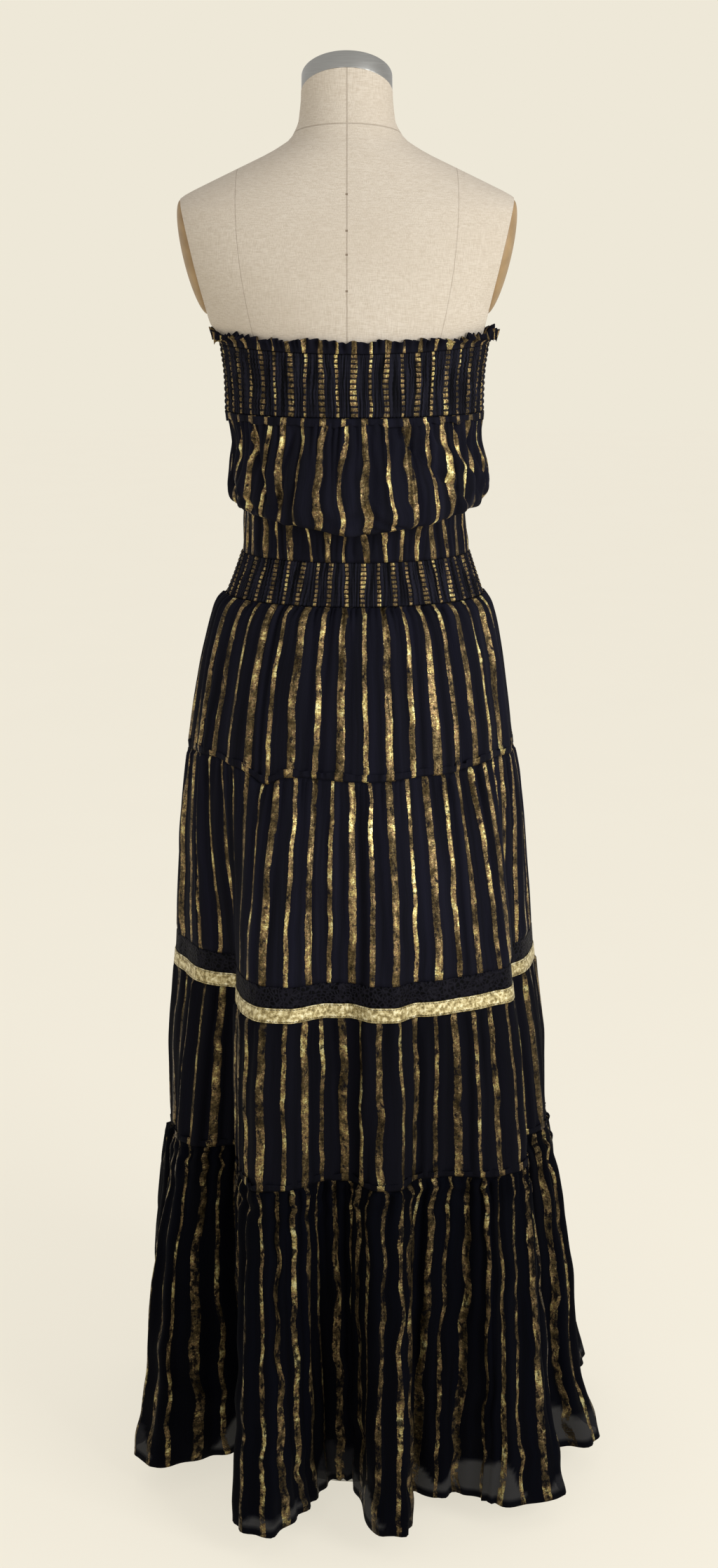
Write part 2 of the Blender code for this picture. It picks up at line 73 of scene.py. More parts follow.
# Sections of each cloth piece, top to bottom: height, then reach to the left, right, back and front.
# Most pieces begin at the last section of the piece above.
BUST = (
    (BUST_TOP, 0.1515, 0.1515, 0.1130, 0.1330),
    (1.3300, 0.1470, 0.1470, 0.1120, 0.1360),
    (BUST_BOTTOM, 0.1460, 0.1460, 0.1110, 0.1340),
)
BODICE = (  # the blouse hangs over itself: it turns under at its sixth row and runs up inside to the seventh
    BUST[-1],
    (1.2620, 0.1380, 0.1430, 0.1190, 0.1310),
    (1.2320, 0.1400, 0.1510, 0.1310, 0.1340),
    (1.2080, 0.1430, 0.1510, 0.1390, 0.1340),
    (1.1930, 0.1390, 0.1460, 0.1370, 0.1290),
    (1.1915, 0.1320, 0.1370, 0.1240, 0.1210),
    (1.1980, 0.1270, 0.1290, 0.1150, 0.1160),
    (1.1760, 0.1260, 0.1270, 0.1080, 0.1110),
    (WAIST_TOP, 0.1290, 0.1320, 0.1060, 0.1070),
)
WAIST = (
    BODICE[-1],
    (1.1100, 0.1375, 0.1400, 0.1095, 0.1098),
    (WAIST_BOTTOM, 0.1475, 0.1485, 0.1125, 0.1125),
)
TIER_1 = (
    (WAIST_BOTTOM, 0.1480, 0.1490, 0.1130, 0.1130),
    (1.0680, 0.1610, 0.1610, 0.1280, 0.1260),
    (1.0200, 0.1740, 0.1710, 0.1450, 0.1400),
    (0.9600, 0.1850, 0.1790, 0.1610, 0.1520),
    (SEAM_1, 0.1930, 0.1860, 0.1700, 0.1590),
)
TIER_2 = (
    TIER_1[-1],
    (0.8400, 0.2020, 0.1980, 0.1650, 0.1680),
    (0.7600, 0.2080, 0.2060, 0.1530, 0.1780),
    (LACE_TOP, 0.2130, 0.2130, 0.1420, 0.1880),
)
LACE = (TIER_2[-1], (RIBBON_TOP, 0.2150, 0.2150, 0.1405, 0.1910))
RIBBON = (LACE[-1], (RIBBON_BOTTOM, 0.2170, 0.2170, 0.1400, 0.1930))
TIER_3 = (
    RIBBON[-1],
    (0.5400, 0.2250, 0.2295, 0.1450, 0.2000),
    (SEAM_3, 0.2250, 0.2330, 0.1500, 0.2050),
)
TIER_4 = (
    TIER_3[-1],
    (0.3900, 0.2330, 0.2430, 0.1560, 0.2130),
    (0.2700, 0.2445, 0.2545, 0.1640, 0.2220),
    (0.1400, 0.2385, 0.2530, 0.1700, 0.2320),
    (HEM, 0.2500, 0.2760, 0.1750, 0.2400),
)

# Hanging folds of the skirt. Angles in degrees: where the fold begins, is full from, is full to, and ends.
# Then its depth at the first tier seam, at the ribbon, at the third seam and at the hem.
FOLD_HEIGHTS = (SEAM_1, RIBBON_BOTTOM, SEAM_3, HEM)
FOLDS = (
    ("centre back panel", -144, -122, -44, -23, 0.000, 0.068, 0.060, 0.000),
    ("left side flute", -168, -156, -149, -140, 0.000, 0.008, 0.026, 0.070),
    ("left valley", -147, -139, -137, -128, 0.000, 0.000, -0.010, -0.036),
    ("left back flute", -129, -115, -108, -98, 0.000, 0.028, 0.036, 0.130),
    ("centre back flute", -92, -84, -79, -70, 0.000, 0.020, 0.032, 0.122),
    ("right back ripple", -76, -67, -65, -56, 0.000, 0.008, 0.006, 0.058),
    ("right back flute", -64, -50, -42, -29, 0.000, 0.002, 0.022, 0.112),
    ("right side flute", -28, -19, -14, -4, 0.000, 0.000, 0.012, 0.050),
    ("right front flute", 8, 22, 27, 42, 0.000, 0.004, 0.014, 0.060),
    ("right front ripple", 44, 54, 57, 68, 0.000, 0.008, 0.014, 0.046),
    ("centre front flute", 72, 84, 89, 102, 0.000, 0.010, 0.018, 0.072),
    ("left front ripple", 104, 114, 117, 128, 0.000, 0.006, 0.012, 0.048),
    ("left front flute", 130, 142, 147, 160, 0.000, 0.006, 0.018, 0.066),
)

# Where a seam hangs off the level: its height, the angle, how wide in degrees, and the drop
SEAM_DIPS = (
    (SEAM_1, -152.0, 15.0, -0.0080),
    (SEAM_1, -125.0, 6.0, 0.0120),
    (SEAM_1, -84.0, 12.0, 0.0040),
    (SEAM_1, -30.0, 12.0, -0.0050),
    (SEAM_1, 60.0, 20.0, 0.0050),
    (SEAM_1, 120.0, 12.0, -0.0040),
    (SEAM_3, -118.0, 7.0, 0.0050),
    (SEAM_3, -46.0, 8.0, 0.0040),
    (SEAM_3, 10.0, 13.0, 0.0140),
    (SEAM_3, 75.0, 18.0, -0.0040),
    (SEAM_3, 170.0, 17.0, 0.0230),
    (SEAM_3, -190.0, 17.0, 0.0230),
)
DIP_REACH = 0.032

# Gathers of the solids, which the sheets keep under their own finer ones
SOLID_WAVES = 18
GATHER_UNEVEN = 0.3
WAVE_TO_WAVE = 2.4

# Sections of the form: height, centre, half-width, back and front, before the arms and neck are cut off
FORM = (
    (0.9000, 0.000, 0.1480, 0.1000, 0.0980),
    (0.9250, 0.000, 0.1600, 0.1090, 0.1060),
    (1.0000, 0.000, 0.1600, 0.1100, 0.1060),
    (1.0500, 0.000, 0.1480, 0.1080, 0.1050),
    (1.0850, 0.000, 0.1384, 0.1094, 0.1094),
    (1.1340, 0.000, 0.1264, 0.1034, 0.1044),
    (1.1720, 0.000, 0.1220, 0.1010, 0.1040),
    (1.2200, 0.000, 0.1235, 0.1020, 0.1130),
    (1.2600, 0.000, 0.1300, 0.1050, 0.1250),
    (1.2930, 0.000, 0.1436, 0.1086, 0.1316),
    (1.3300, 0.000, 0.1447, 0.1097, 0.1337),
    (1.3620, 0.000, 0.1462, 0.1107, 0.1300),
    (1.3740, -0.001, 0.1486, 0.1107, 0.1270),
    (1.3900, -0.003, 0.1600, 0.1110, 0.1230),
    (1.4150, -0.005, 0.1700, 0.1100, 0.1150),
    (1.4500, -0.007, 0.1900, 0.1060, 0.1040),
    (1.4900, -0.007, 0.2020, 0.0980, 0.0920),
    (1.5150, -0.007, 0.2000, 0.0900, 0.0820),
    (1.5300, -0.007, 0.1800, 0.0840, 0.0740),
    (1.5460, -0.007, 0.1460, 0.0780, 0.0660),
    (1.5600, -0.007, 0.1160, 0.0720, 0.0590),
    (1.5740, -0.007, 0.0860, 0.0660, 0.0530),
    (1.5880, -0.007, 0.0630, 0.0580, 0.0480),
    (1.6050, -0.008, 0.0535, 0.0510, 0.0460),
    (1.6300, -0.008, 0.0505, 0.0450, 0.0445),
    (1.6800, -0.008, 0.0500, 0.0437, 0.0437),
)
NECK_X = -0.0080
NECK_TILT = math.radians(29)
NECK_CUT = 1.6366
CAP_RADIUS = 0.0500
CAP_HEIGHT = 0.0215
TACK_HEIGHTS = (1.5290, 1.4910, 1.4660, 1.4280)
PLATE_TILT = math.radians(13.0)
PLATE_CENTRE = (0.1700, 0.002, 1.4620)
PLATE_SIZE = (0.0125, 0.0450, 0.0640)
JOIN = 0.0003  # between the form and what lies on it

# The cloth: gold stripes stand 28 mm apart in it, 5.2 and 8.8 mm wide by turns
STRIPE_PITCH = 0.028
STRIPE_HALVES = (0.0026, 0.0044)
CLOTH = 0.0007
RIBBON_WIDTH = 0.0165
RIBBON_CUT = (1.45, RIBBON_WIDTH)
LACE_CUT = (1.44, 0.0235)
STITCH_INSET = 0.0018
STITCH_HALF_WIDTH = 0.00035
STITCH_PITCH = 0.0030
RUFFLE_CUT = 0.0102

# The cloth's colour, dark and pale: its own, of the dress; darker for its third tier and its flounce, as
# painted shade on the lower skirt; and a paler tone for the smocked pleats, a painted highlight
GROUND = ("#030306", "#141420")
SHADED_LOW_GROUND = ("#050509", "#0c0c14")
SHADED_FLOUNCE_GROUND = ("#010103", "#03040b")
# pale tone of the smocked ground: a painted highlight for the ridges of its pleats
PAINTED_CREST_HIGHLIGHT = "#1c1c26"

# Smocking: how far its pleats rise, and how far they puff between the elastics and sink at them
PLEAT_DEPTH = 0.0008
PLEAT_PUFF = 0.0007
PLEAT_NIP = 0.0005

# The heading: how long it is, how far off the form it begins, how far it waves and how uneven its edge is.
# Its curl is in degrees: at the centre back, and what is added at the sides.
HEADING_LOOPS = 96
HEADING_LENGTH = HEADING_TOP - BUST_TOP + 0.0015
HEADING_OFF = 0.0014
HEADING_WAVE = 0.0042
HEADING_UNEVEN = 0.0028
HEADING_CURL = (12, 96)

# The hem: its turning, and the mean height of the unlined cloth above it
HEM_TURNING = 0.0055
SHEER_EDGE = 0.036

# Stage, light and camera
ROOM = "#eee8d8"
ROOM_LIGHT = 0.72
FLOOR_RADIUS = 14.0
FLOOR_GLOW = 0.79
CAMERA_PLACE = (0.0053, -2.5, 1.50)
CAMERA_TURN = math.radians(75.5)
FOCAL_PX = 3100
PHOTO_HEIGHT_PX = 2237
SENSOR_MM = 36.0

# Creases, listed one by one: where each begins round and down the piece and where it ends, in hundredths of a
# half and of the whole length, then how wide it is in thousandths of a half, and its depth in millimetres
BODICE_CREASES = (
    (30, 30, 36, 52, 20, -5), (44, 34, 50, 55, 16, 4.5), (50, 40, 56, 50, 14, -4),
    (62, 20, 66, 50, 18, -4), (72, 15, 80, 45, 16, 4), (80, 10, 90, 40, 16, -5),
    (12, 20, 20, 50, 18, 5), (20, 10, 26, 40, 16, -4), (6, 25, 14, 50, 14, -4),
    (92, 20, 98, 45, 14, 4), (10, 78, 16, 95, 20, 3), (30, 76, 34, 96, 18, -3),
    (70, 76, 72, 96, 18, 3), (88, 78, 90, 95, 18, -3), (115, 20, 110, 50, 20, 4.5),
    (135, 15, 130, 45, 18, -4.5), (152, 20, 150, 50, 20, 4), (170, 15, 174, 45, 18, -4),
    (186, 25, 190, 50, 18, 4.5), (60, 4, 80, 38, 7, -5), (64, 3, 86, 30, 9, 4),
    (52, 36, 61, 50, 6, -4), (44, 42, 53, 38, 6, -4), (34, 5, 30, 40, 7, -4.2),
    (20, 12, 29, 42, 7, -4.5), (9, 30, 22, 46, 8, -4.5), (86, 10, 96, 45, 8, -4.5),
    (124, 6, 116, 40, 8, -4.5), (162, 8, 170, 42, 8, -4.5),
)
TIER_1_CREASES = (
    (8, 2, 10, 80, 20, 3), (20, 5, 19, 95, 18, -2.6), (33, 2, 35, 60, 16, 2.4),
    (52, 5, 52, 90, 14, -2.6), (60, 2, 63, 70, 16, 2.6), (74, 5, 76, 95, 16, -2.8),
    (88, 2, 90, 85, 18, 3), (95, 10, 94, 90, 14, -2.4), (112, 2, 110, 90, 20, 3),
    (134, 5, 136, 80, 18, -2.8), (155, 2, 152, 90, 20, 2.8), (178, 5, 180, 80, 18, -3),
)
TIER_2_CREASES = (
    (6, 2, 5, 90, 16, 3), (16, 10, 17, 100, 14, -3), (30, 2, 29, 80, 14, 2.4),
    (44, 5, 46, 100, 14, -2.4), (58, 2, 57, 90, 14, 2.6), (68, 10, 69, 80, 12, -2.6),
    (80, 2, 81, 100, 14, 2.6), (90, 5, 92, 90, 14, -2.6), (114, 2, 115, 90, 16, 2.8),
    (138, 10, 136, 100, 16, -2.8), (160, 2, 162, 90, 16, 2.8), (184, 5, 182, 90, 16, -2.8),
)
TIER_3_CREASES = (
    (7, 2, 7, 100, 14, 3), (22, 10, 21, 90, 14, -2.8), (36, 2, 35, 100, 12, 2.6),
    (47, 5, 48, 80, 12, -2.6), (59, 2, 58, 100, 12, 2.6), (72, 10, 73, 90, 12, -2.8),
    (85, 2, 86, 100, 12, 2.8), (120, 2, 118, 90, 16, 3), (144, 10, 146, 100, 16, -3),
    (170, 2, 168, 90, 16, 3), (190, 5, 192, 90, 16, -3),
)
TIER_4_CREASES = (
    (5, 2, 3, 70, 10, 6), (10, 2, 11, 60, 10, -6), (18, 2, 17, 80, 10, 5.5),
    (27, 2, 29, 55, 10, -6), (36, 2, 35, 65, 10, 5.5), (45, 2, 46, 75, 10, -6),
    (53, 2, 52, 60, 9, 6), (61, 2, 62, 80, 10, -5.5), (70, 2, 71, 60, 10, 6),
    (79, 2, 78, 75, 10, -6), (88, 2, 90, 65, 10, 5.5), (95, 2, 96, 80, 10, -5.5),
    (110, 2, 112, 70, 12, 6), (124, 2, 122, 80, 12, -6), (140, 2, 141, 60, 12, 6),
    (156, 2, 154, 75, 12, -6), (170, 2, 172, 65, 12, 6), (186, 2, 185, 80, 12, -6),
)


def fill_sockets(node, inputs):
    """Sets sockets to values, or links them to other sockets, or to the first output of another node."""
    for socket, value in inputs.items() if isinstance(inputs, dict) else enumerate(inputs):
        if isinstance(value, bpy.types.Node):
            value = next(output for output in value.outputs if output.enabled)
        if isinstance(value, bpy.types.NodeSocket):
            node.id_data.links.new(value, node.inputs[socket])
        else:
            node.inputs[socket].default_value = value


def add_node(tree, kind, inputs=(), **settings):
    """Adds a node, sets its options and fills its sockets, named in a dict or in their order."""
    made = tree.nodes.new(kind)
    for option, value in settings.items():
        setattr(made, option, value)
    fill_sockets(made, inputs)
    return made


def how_far(add, value, place):
    """How far a value is from a place, to either side."""
    past = add("ShaderNodeMath", [value, place], operation="SUBTRACT")
    return add("ShaderNodeMath", [past], operation="ABSOLUTE")


def colour(code):
    """An sRGB hex colour as linear red, green, blue and alpha."""
    parts = (int(code[k : k + 2], 16) / 255 for k in (1, 3, 5))
    return (*(p / 12.92 if p <= 0.04045 else ((p + 0.055) / 1.055) ** 2.4 for p in parts), 1.0)


def new_finish(name):
    """An empty material: itself, add_node for its own tree, and its shader."""
    finish = bpy.data.materials.new(name)
    finish.use_nodes = True
    return finish, partial(add_node, finish.node_tree), finish.node_tree.nodes["Principled BSDF"]


# Sections and folds, worked out for whole grids at once


def ease(t):
    t = np.clip(t, 0.0, 1.0)
    return t * t * (3 - 2 * t)


def curve_through(places, values, where):
    """Values on a smooth curve through the rows of a table."""
    places, values = np.asarray(places, float), np.asarray(values, float)
    if places[0] > places[-1]:
        places, values = places[::-1], values[::-1]
    slopes = np.gradient(values, places)
    row = np.clip(np.searchsorted(places, where) - 1, 0, len(places) - 2)
    span = places[row + 1] - places[row]
    t = np.clip((where - places[row]) / span, 0.0, 1.0)
    return (
        values[row] * (2 * t**3 - 3 * t**2 + 1)
        + values[row + 1] * (3 * t**2 - 2 * t**3)
        + slopes[row] * span * (t**3 - 2 * t**2 + t)
        + slopes[row + 1] * span * (t**3 - t**2)
    )


def section_at(rows, along):
    """Height and the four reaches of a piece, at places from 0 at its top row to 1 at its lowest."""
    steps = np.linspace(0.0, 1.0, len(rows))
    if len(rows) == 2:
        return [np.interp(along, steps, column) for column in zip(*rows)]
    return [curve_through(steps, column, along) for column in zip(*rows)]


def fold_depth(degrees, height):
    """How far the skirt's hanging folds stand out of the plain section."""
    total = np.zeros_like(height)
    for _name, begin, full, full_to, end, *depths in FOLDS:
        share = ease((degrees - begin) / (full - begin)) * ease((end - degrees) / (end - full_to))
        total += share * curve_through(FOLD_HEIGHTS, depths, np.maximum(height, HEM))
    return np.where(height < SEAM_1, total, 0.0)


def seam_dip(degrees, height):
    """How far below its level each point hangs, near a seam that isn't level."""
    total = np.zeros_like(height)
    for seam, at, wide, drop in SEAM_DIPS:
        total += drop * np.exp(-(((degrees - at) / wide) ** 2) - ((height - seam) / DIP_REACH) ** 2)
    return total


def ring_points(rows, along, degrees, outward):
    """Points of a cloth piece's outer surface; 0 degrees is the right side and -90 the back."""
    height, left, right, back, front = section_at(rows, along)
    across, away = np.cos(np.radians(degrees)), np.sin(np.radians(degrees))
    side = np.where(across > 0, right, left)
    depth = np.where(away > 0, front, back)
    radius = 1.0 / np.hypot(across / side, away / depth) + fold_depth(degrees, height) + outward
    return np.stack([radius * across, radius * away, height], axis=-1)


class Surface:
    """One cloth piece's outer surface, as a function of places round it and down it.

    A place round it runs from 0 to 1 on the back, left to right, and from 1 to 2 on the front, right to left.
    """

    def __init__(self, rows, gather_top=0.0, gather_low=0.0, belly=0.0, rise=0.0, sag=0.0):
        self.rows = rows
        self.gather_top, self.gather_low, self.belly = gather_top, gather_low, belly
        self.rise, self.sag = rise, sag
        self.upper, self.lower = (
            np.concatenate([self.spaced(-180.0, 0.0, along), self.spaced(0.0, 180.0, along)[1:]])
            for along in (0.0, 1.0)
        )

    def spaced(self, first, last, along, steps=720):
        """Angles of evenly spaced points along the upper or lower edge of one half."""
        angles = np.linspace(first, last, steps + 1)
        edge = ring_points(self.rows, np.full(steps + 1, along), angles, 0.0)
        run = np.concatenate([[0.0], np.cumsum(np.linalg.norm(np.diff(edge, axis=0), axis=1))])
        return np.interp(np.linspace(0.0, run[-1], steps + 1), run, angles)

    def degrees(self, around, along):
        """The cloth's threads run from even places along its upper edge to even ones along its lower edge."""
        places = np.linspace(0.0, 2.0, len(self.lower))
        upper, lower = (np.interp(around % 2.0, places, edge) for edge in (self.upper, self.lower))
        return upper + (lower - upper) * along

    def gather(self, around, along):
        """Follows the threads, so that the waves of two pieces meet at their seam."""
        waves = (around % 2.0) * SOLID_WAVES / 2
        depth = self.gather_top + (self.gather_low - self.gather_top) * along
        depth = depth + self.belly * np.sin(np.pi * along) ** 2
        own = 1.0 - GATHER_UNEVEN + GATHER_UNEVEN * np.sin(WAVE_TO_WAVE * np.floor(waves))
        return depth * own * np.sin(2 * np.pi * waves)

    def points(self, around, along):
        degrees = self.degrees(around, along)
        where = ring_points(self.rows, along, degrees, self.gather(around, along))
        forward = np.sin(np.radians(degrees))
        where[..., 2] += self.rise * (1 - along) * (1 + forward) / 2
        where[..., 2] -= seam_dip(degrees, where[..., 2])
        hanging = ease((along - SAG_SPAN[0]) / SAG_EASE) * ease((SAG_SPAN[1] - along) / SAG_EASE)
        where[..., 2] -= self.sag * hanging * forward**2 * np.where(forward < 0, 1.0, FRONT_SAG_SHARE)
        return where


# Folds that a maker's hands and the gathering threads put into the cloth

PINCH = 0.3  # a gather's shift sideways, as a share of its depth: it makes ridges broad and troughs tight
LEAN = 0.6
WANDER_CELL = (0.030, 0.028)  # a stripe strays in cells this wide and long, and less in finer ones
FINE_WANDER_CELL = 0.012
FINE_WANDER = 0.4


def uneven_places(chance, count):
    """Where gathers or loops of uneven width begin and end round a piece, from 0 to 2."""
    steps = chance.uniform(0.5, 1.5, count)
    return np.concatenate([[0.0], np.cumsum(steps)]) * 2.0 / steps.sum()


def own_sizes(chance, least, most, count):
    """A size for each gather or loop, the last the same as the first, where the ring closes."""
    sizes = chance.uniform(least, most, count + 1)
    sizes[-1] = sizes[0]
    return sizes


def gathers(around, along, count, depth, reach, seed):
    """Uneven upright folds that start at a gathered edge and die out down the cloth, each at its own length.

    Gives how far the cloth stands out and how far it shifts sideways.
    """
    chance = np.random.default_rng(seed)
    edges = uneven_places(chance, count)
    deep, long, lean = (own_sizes(chance, *span, count) for span in ((0.35, 1.0), (0.55, 1.0), (-1.0, 1.0)))
    number = np.arange(count + 1)
    waves = np.interp(around % 2.0, edges, number)
    waves = (waves + LEAN * np.interp(waves, number, lean) * along) % count
    fade = 1.0 - ease(along / (reach * np.interp(waves, number, long)))
    size = depth * np.interp(waves, number, deep) * fade
    return size * np.stack([np.cos(2 * np.pi * waves), PINCH * np.sin(2 * np.pi * waves)])


def soft_noise(around, along, over, down, seed):
    """Smooth unevenness from -1 to 1, with so many cells round the piece and down it."""
    values = np.random.default_rng(seed).uniform(-1.0, 1.0, (down + 2, over + 1))
    values[:, -1] = values[:, 0]
    column, row = (around % 2.0) / 2.0 * over, np.clip(along, 0.0, 1.0) * down
    left, above = np.clip(column.astype(int), 0, over - 1), row.astype(int)
    x, y = ease(column - left), ease(row - above)
    upper = values[above, left] * (1 - x) + values[above, left + 1] * x
    lower = values[above + 1, left] * (1 - x) + values[above + 1, left + 1] * x
    return upper * (1 - y) + lower * y


def crumple(around, along, over, down, depth, seed):
    """Soft dents and bumps all over, out and sideways."""
    return depth * np.stack([soft_noise(around, along, over, down, seed + k) for k in (0, 1)])


def creases(around, along, table):
    """Soft folds, listed one by one in a table: each runs from one place on the cloth to another, a ridge or
    a trough.
    """
    total = np.zeros_like(around)
    for row in table:
        from_around, from_along, to_around, to_along = (value / 100 for value in row[:4])
        wide, depth = (value / 1000 for value in row[4:])
        run_u, run_v = to_around - from_around, to_along - from_along
        off_u, off_v = around - from_around, along - from_along
        share = np.clip((off_u * run_u * 4 + off_v * run_v) / (run_u**2 * 4 + run_v**2), 0, 1)
        off_u, off_v = (off_u - share * run_u + 1.0) % 2.0 - 1.0, off_v - share * run_v
        ridge = depth * np.exp(-((off_u / wide) ** 2) - (off_v / (wide * 4)) ** 2)
        total += ridge * (0.35 + 0.65 * np.sin(np.pi * (0.15 + 0.7 * share)))
    return np.stack([total, np.zeros_like(total)])


def no_folds(around, along):
    return np.zeros_like(around), np.zeros_like(around)


def flattened(folds, along, reach, kept, loose=False):
    """Folds die down towards a sewn edge, so that two pieces meet there. The lower edge may be loose."""
    sewn = ease(along / reach) * (1.0 if loose else ease((1.0 - along) / reach))
    return folds * (kept + (1.0 - kept) * sewn)


def to_mesh(shape, name, sharp=None):
    """Ends a bmesh as a mesh. Its edges stay sharp where they turn by more than so many degrees."""
    mesh = bpy.data.meshes.new(name)
    shape.to_mesh(mesh)
    shape.free()
    if sharp:
        mesh.shade_smooth()
        mesh.set_sharp_from_angle(angle=math.radians(sharp))
    return mesh


def laid_sheet(name, surface, columns, rows, cut, relief, wander=0.0):
    """A ring of cloth: a flat grid, as cut, laid on a surface. relief is how far it stands out and shifts."""
    shape = bmesh.new()
    bmesh.ops.create_grid(shape, x_segments=columns, y_segments=rows, size=0.5)
    mesh = to_mesh(shape, name)
    flat = np.empty(len(mesh.vertices) * 3, np.float32)
    mesh.vertices.foreach_get("co", flat)
    flat = flat.reshape(-1, 3).astype(float)
    across, down = flat[:, 0] + 0.5, 0.5 - flat[:, 1]

    around, along = np.meshgrid(np.linspace(0.0, 2.0, columns + 1), np.linspace(0.0, 1.0, rows + 1))
    places = surface.points(around, along)
    ring = places[:, :-1]
    over = np.roll(ring, -1, axis=1) - np.roll(ring, 1, axis=1)
    over = np.concatenate([over, over[:, :1]], axis=1)
    over /= np.linalg.norm(over, axis=2, keepdims=True)
    outward = np.cross(over, -np.gradient(places, axis=0))
    outward /= np.linalg.norm(outward, axis=2, keepdims=True)
    out, sideways = relief(around, along)
    places = places + outward * out[..., None] + over * sideways[..., None]
    places[:, -1] = places[:, 0]
    column, row = np.rint(across * columns).astype(int), np.rint(down * rows).astype(int)
    mesh.vertices.foreach_set("co", places[row, column].astype(np.float32).ravel())

    drawn = np.column_stack([across * cut[0], (1.0 - down) * cut[1]])
    if wander:
        cells = max(int(cut[1] / WANDER_CELL[1]), 1)
        drawn[:, 0] += wander * soft_noise(across * 2, down, int(cut[0] / WANDER_CELL[0]), cells, 5)
        fine = soft_noise(across * 2, down, int(cut[0] / FINE_WANDER_CELL), cells * 3, 6)
        drawn[:, 0] += wander * FINE_WANDER * fine
    corner = np.empty(len(mesh.loops), np.int32)
    mesh.loops.foreach_get("vertex_index", corner)
    mesh.uv_layers.new(name="cut").data.foreach_set("uv", drawn[corner].astype(np.float32).ravel())

    # the two ends of the ring are joined
    shape = bmesh.new()
    shape.from_mesh(mesh)
    bmesh.ops.remove_doubles(shape, verts=shape.verts, dist=1e-6)
    shape.to_mesh(mesh)
    shape.free()
    return mesh


def add_piece(name, mesh, finish, nodes, wall=0.0):
    """Puts a piece in the scene in place of its CAD nodes."""
    mesh.materials.append(finish)
    mesh.shade_smooth()
    piece = bpy.data.objects.new(name, mesh)
    bpy.context.scene.collection.objects.link(piece)
    if wall:
        shell = piece.modifiers.new("cloth thickness", "SOLIDIFY")
        shell.thickness = wall
        shell.offset = -1.0
    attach(piece, "root")
    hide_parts(*nodes)
    return piece


# Finishes

# Unevenness of the voile: cells a metre across the cloth and along it, detail and roughness
STRIPE_NOISE = {
    "waver": (260.0, 260.0, 3.0, 0.5),
    "cracks": (70.0, 420.0, 2.0, 0.5),
    "wear": (130.0, 75.0, 5.0, 0.7),
    "drift": (38.0, 26.0, 5.0, 0.8),
    # the next noise places the painted glints on the stripes
    "painted_glints": (650.0, 650.0, 2.0, 0.5),
    "weave": (1000.0, 60.0, 2.0, 0.5),
}
PLAIN_NOISE = {"streaks": (75.0, 4.0, 3.0, 0.5), "threads": (420.0, 9.0, 3.0, 0.5)}
# the second smocked noise lays the painted highlight streaks on the pleats
SMOCKED_NOISE = {"nips": (110.0, 300.0, 3.0, 0.5), "crest_highlights": (320.0, 14.0, 2.0, 0.5)}
GOLD_TONES = ((0.43, "#473a24"), (0.51, "#605134"), (0.57, "#836849"), (0.62, "#9a8450"), (0.67, "#c0ad6c"))


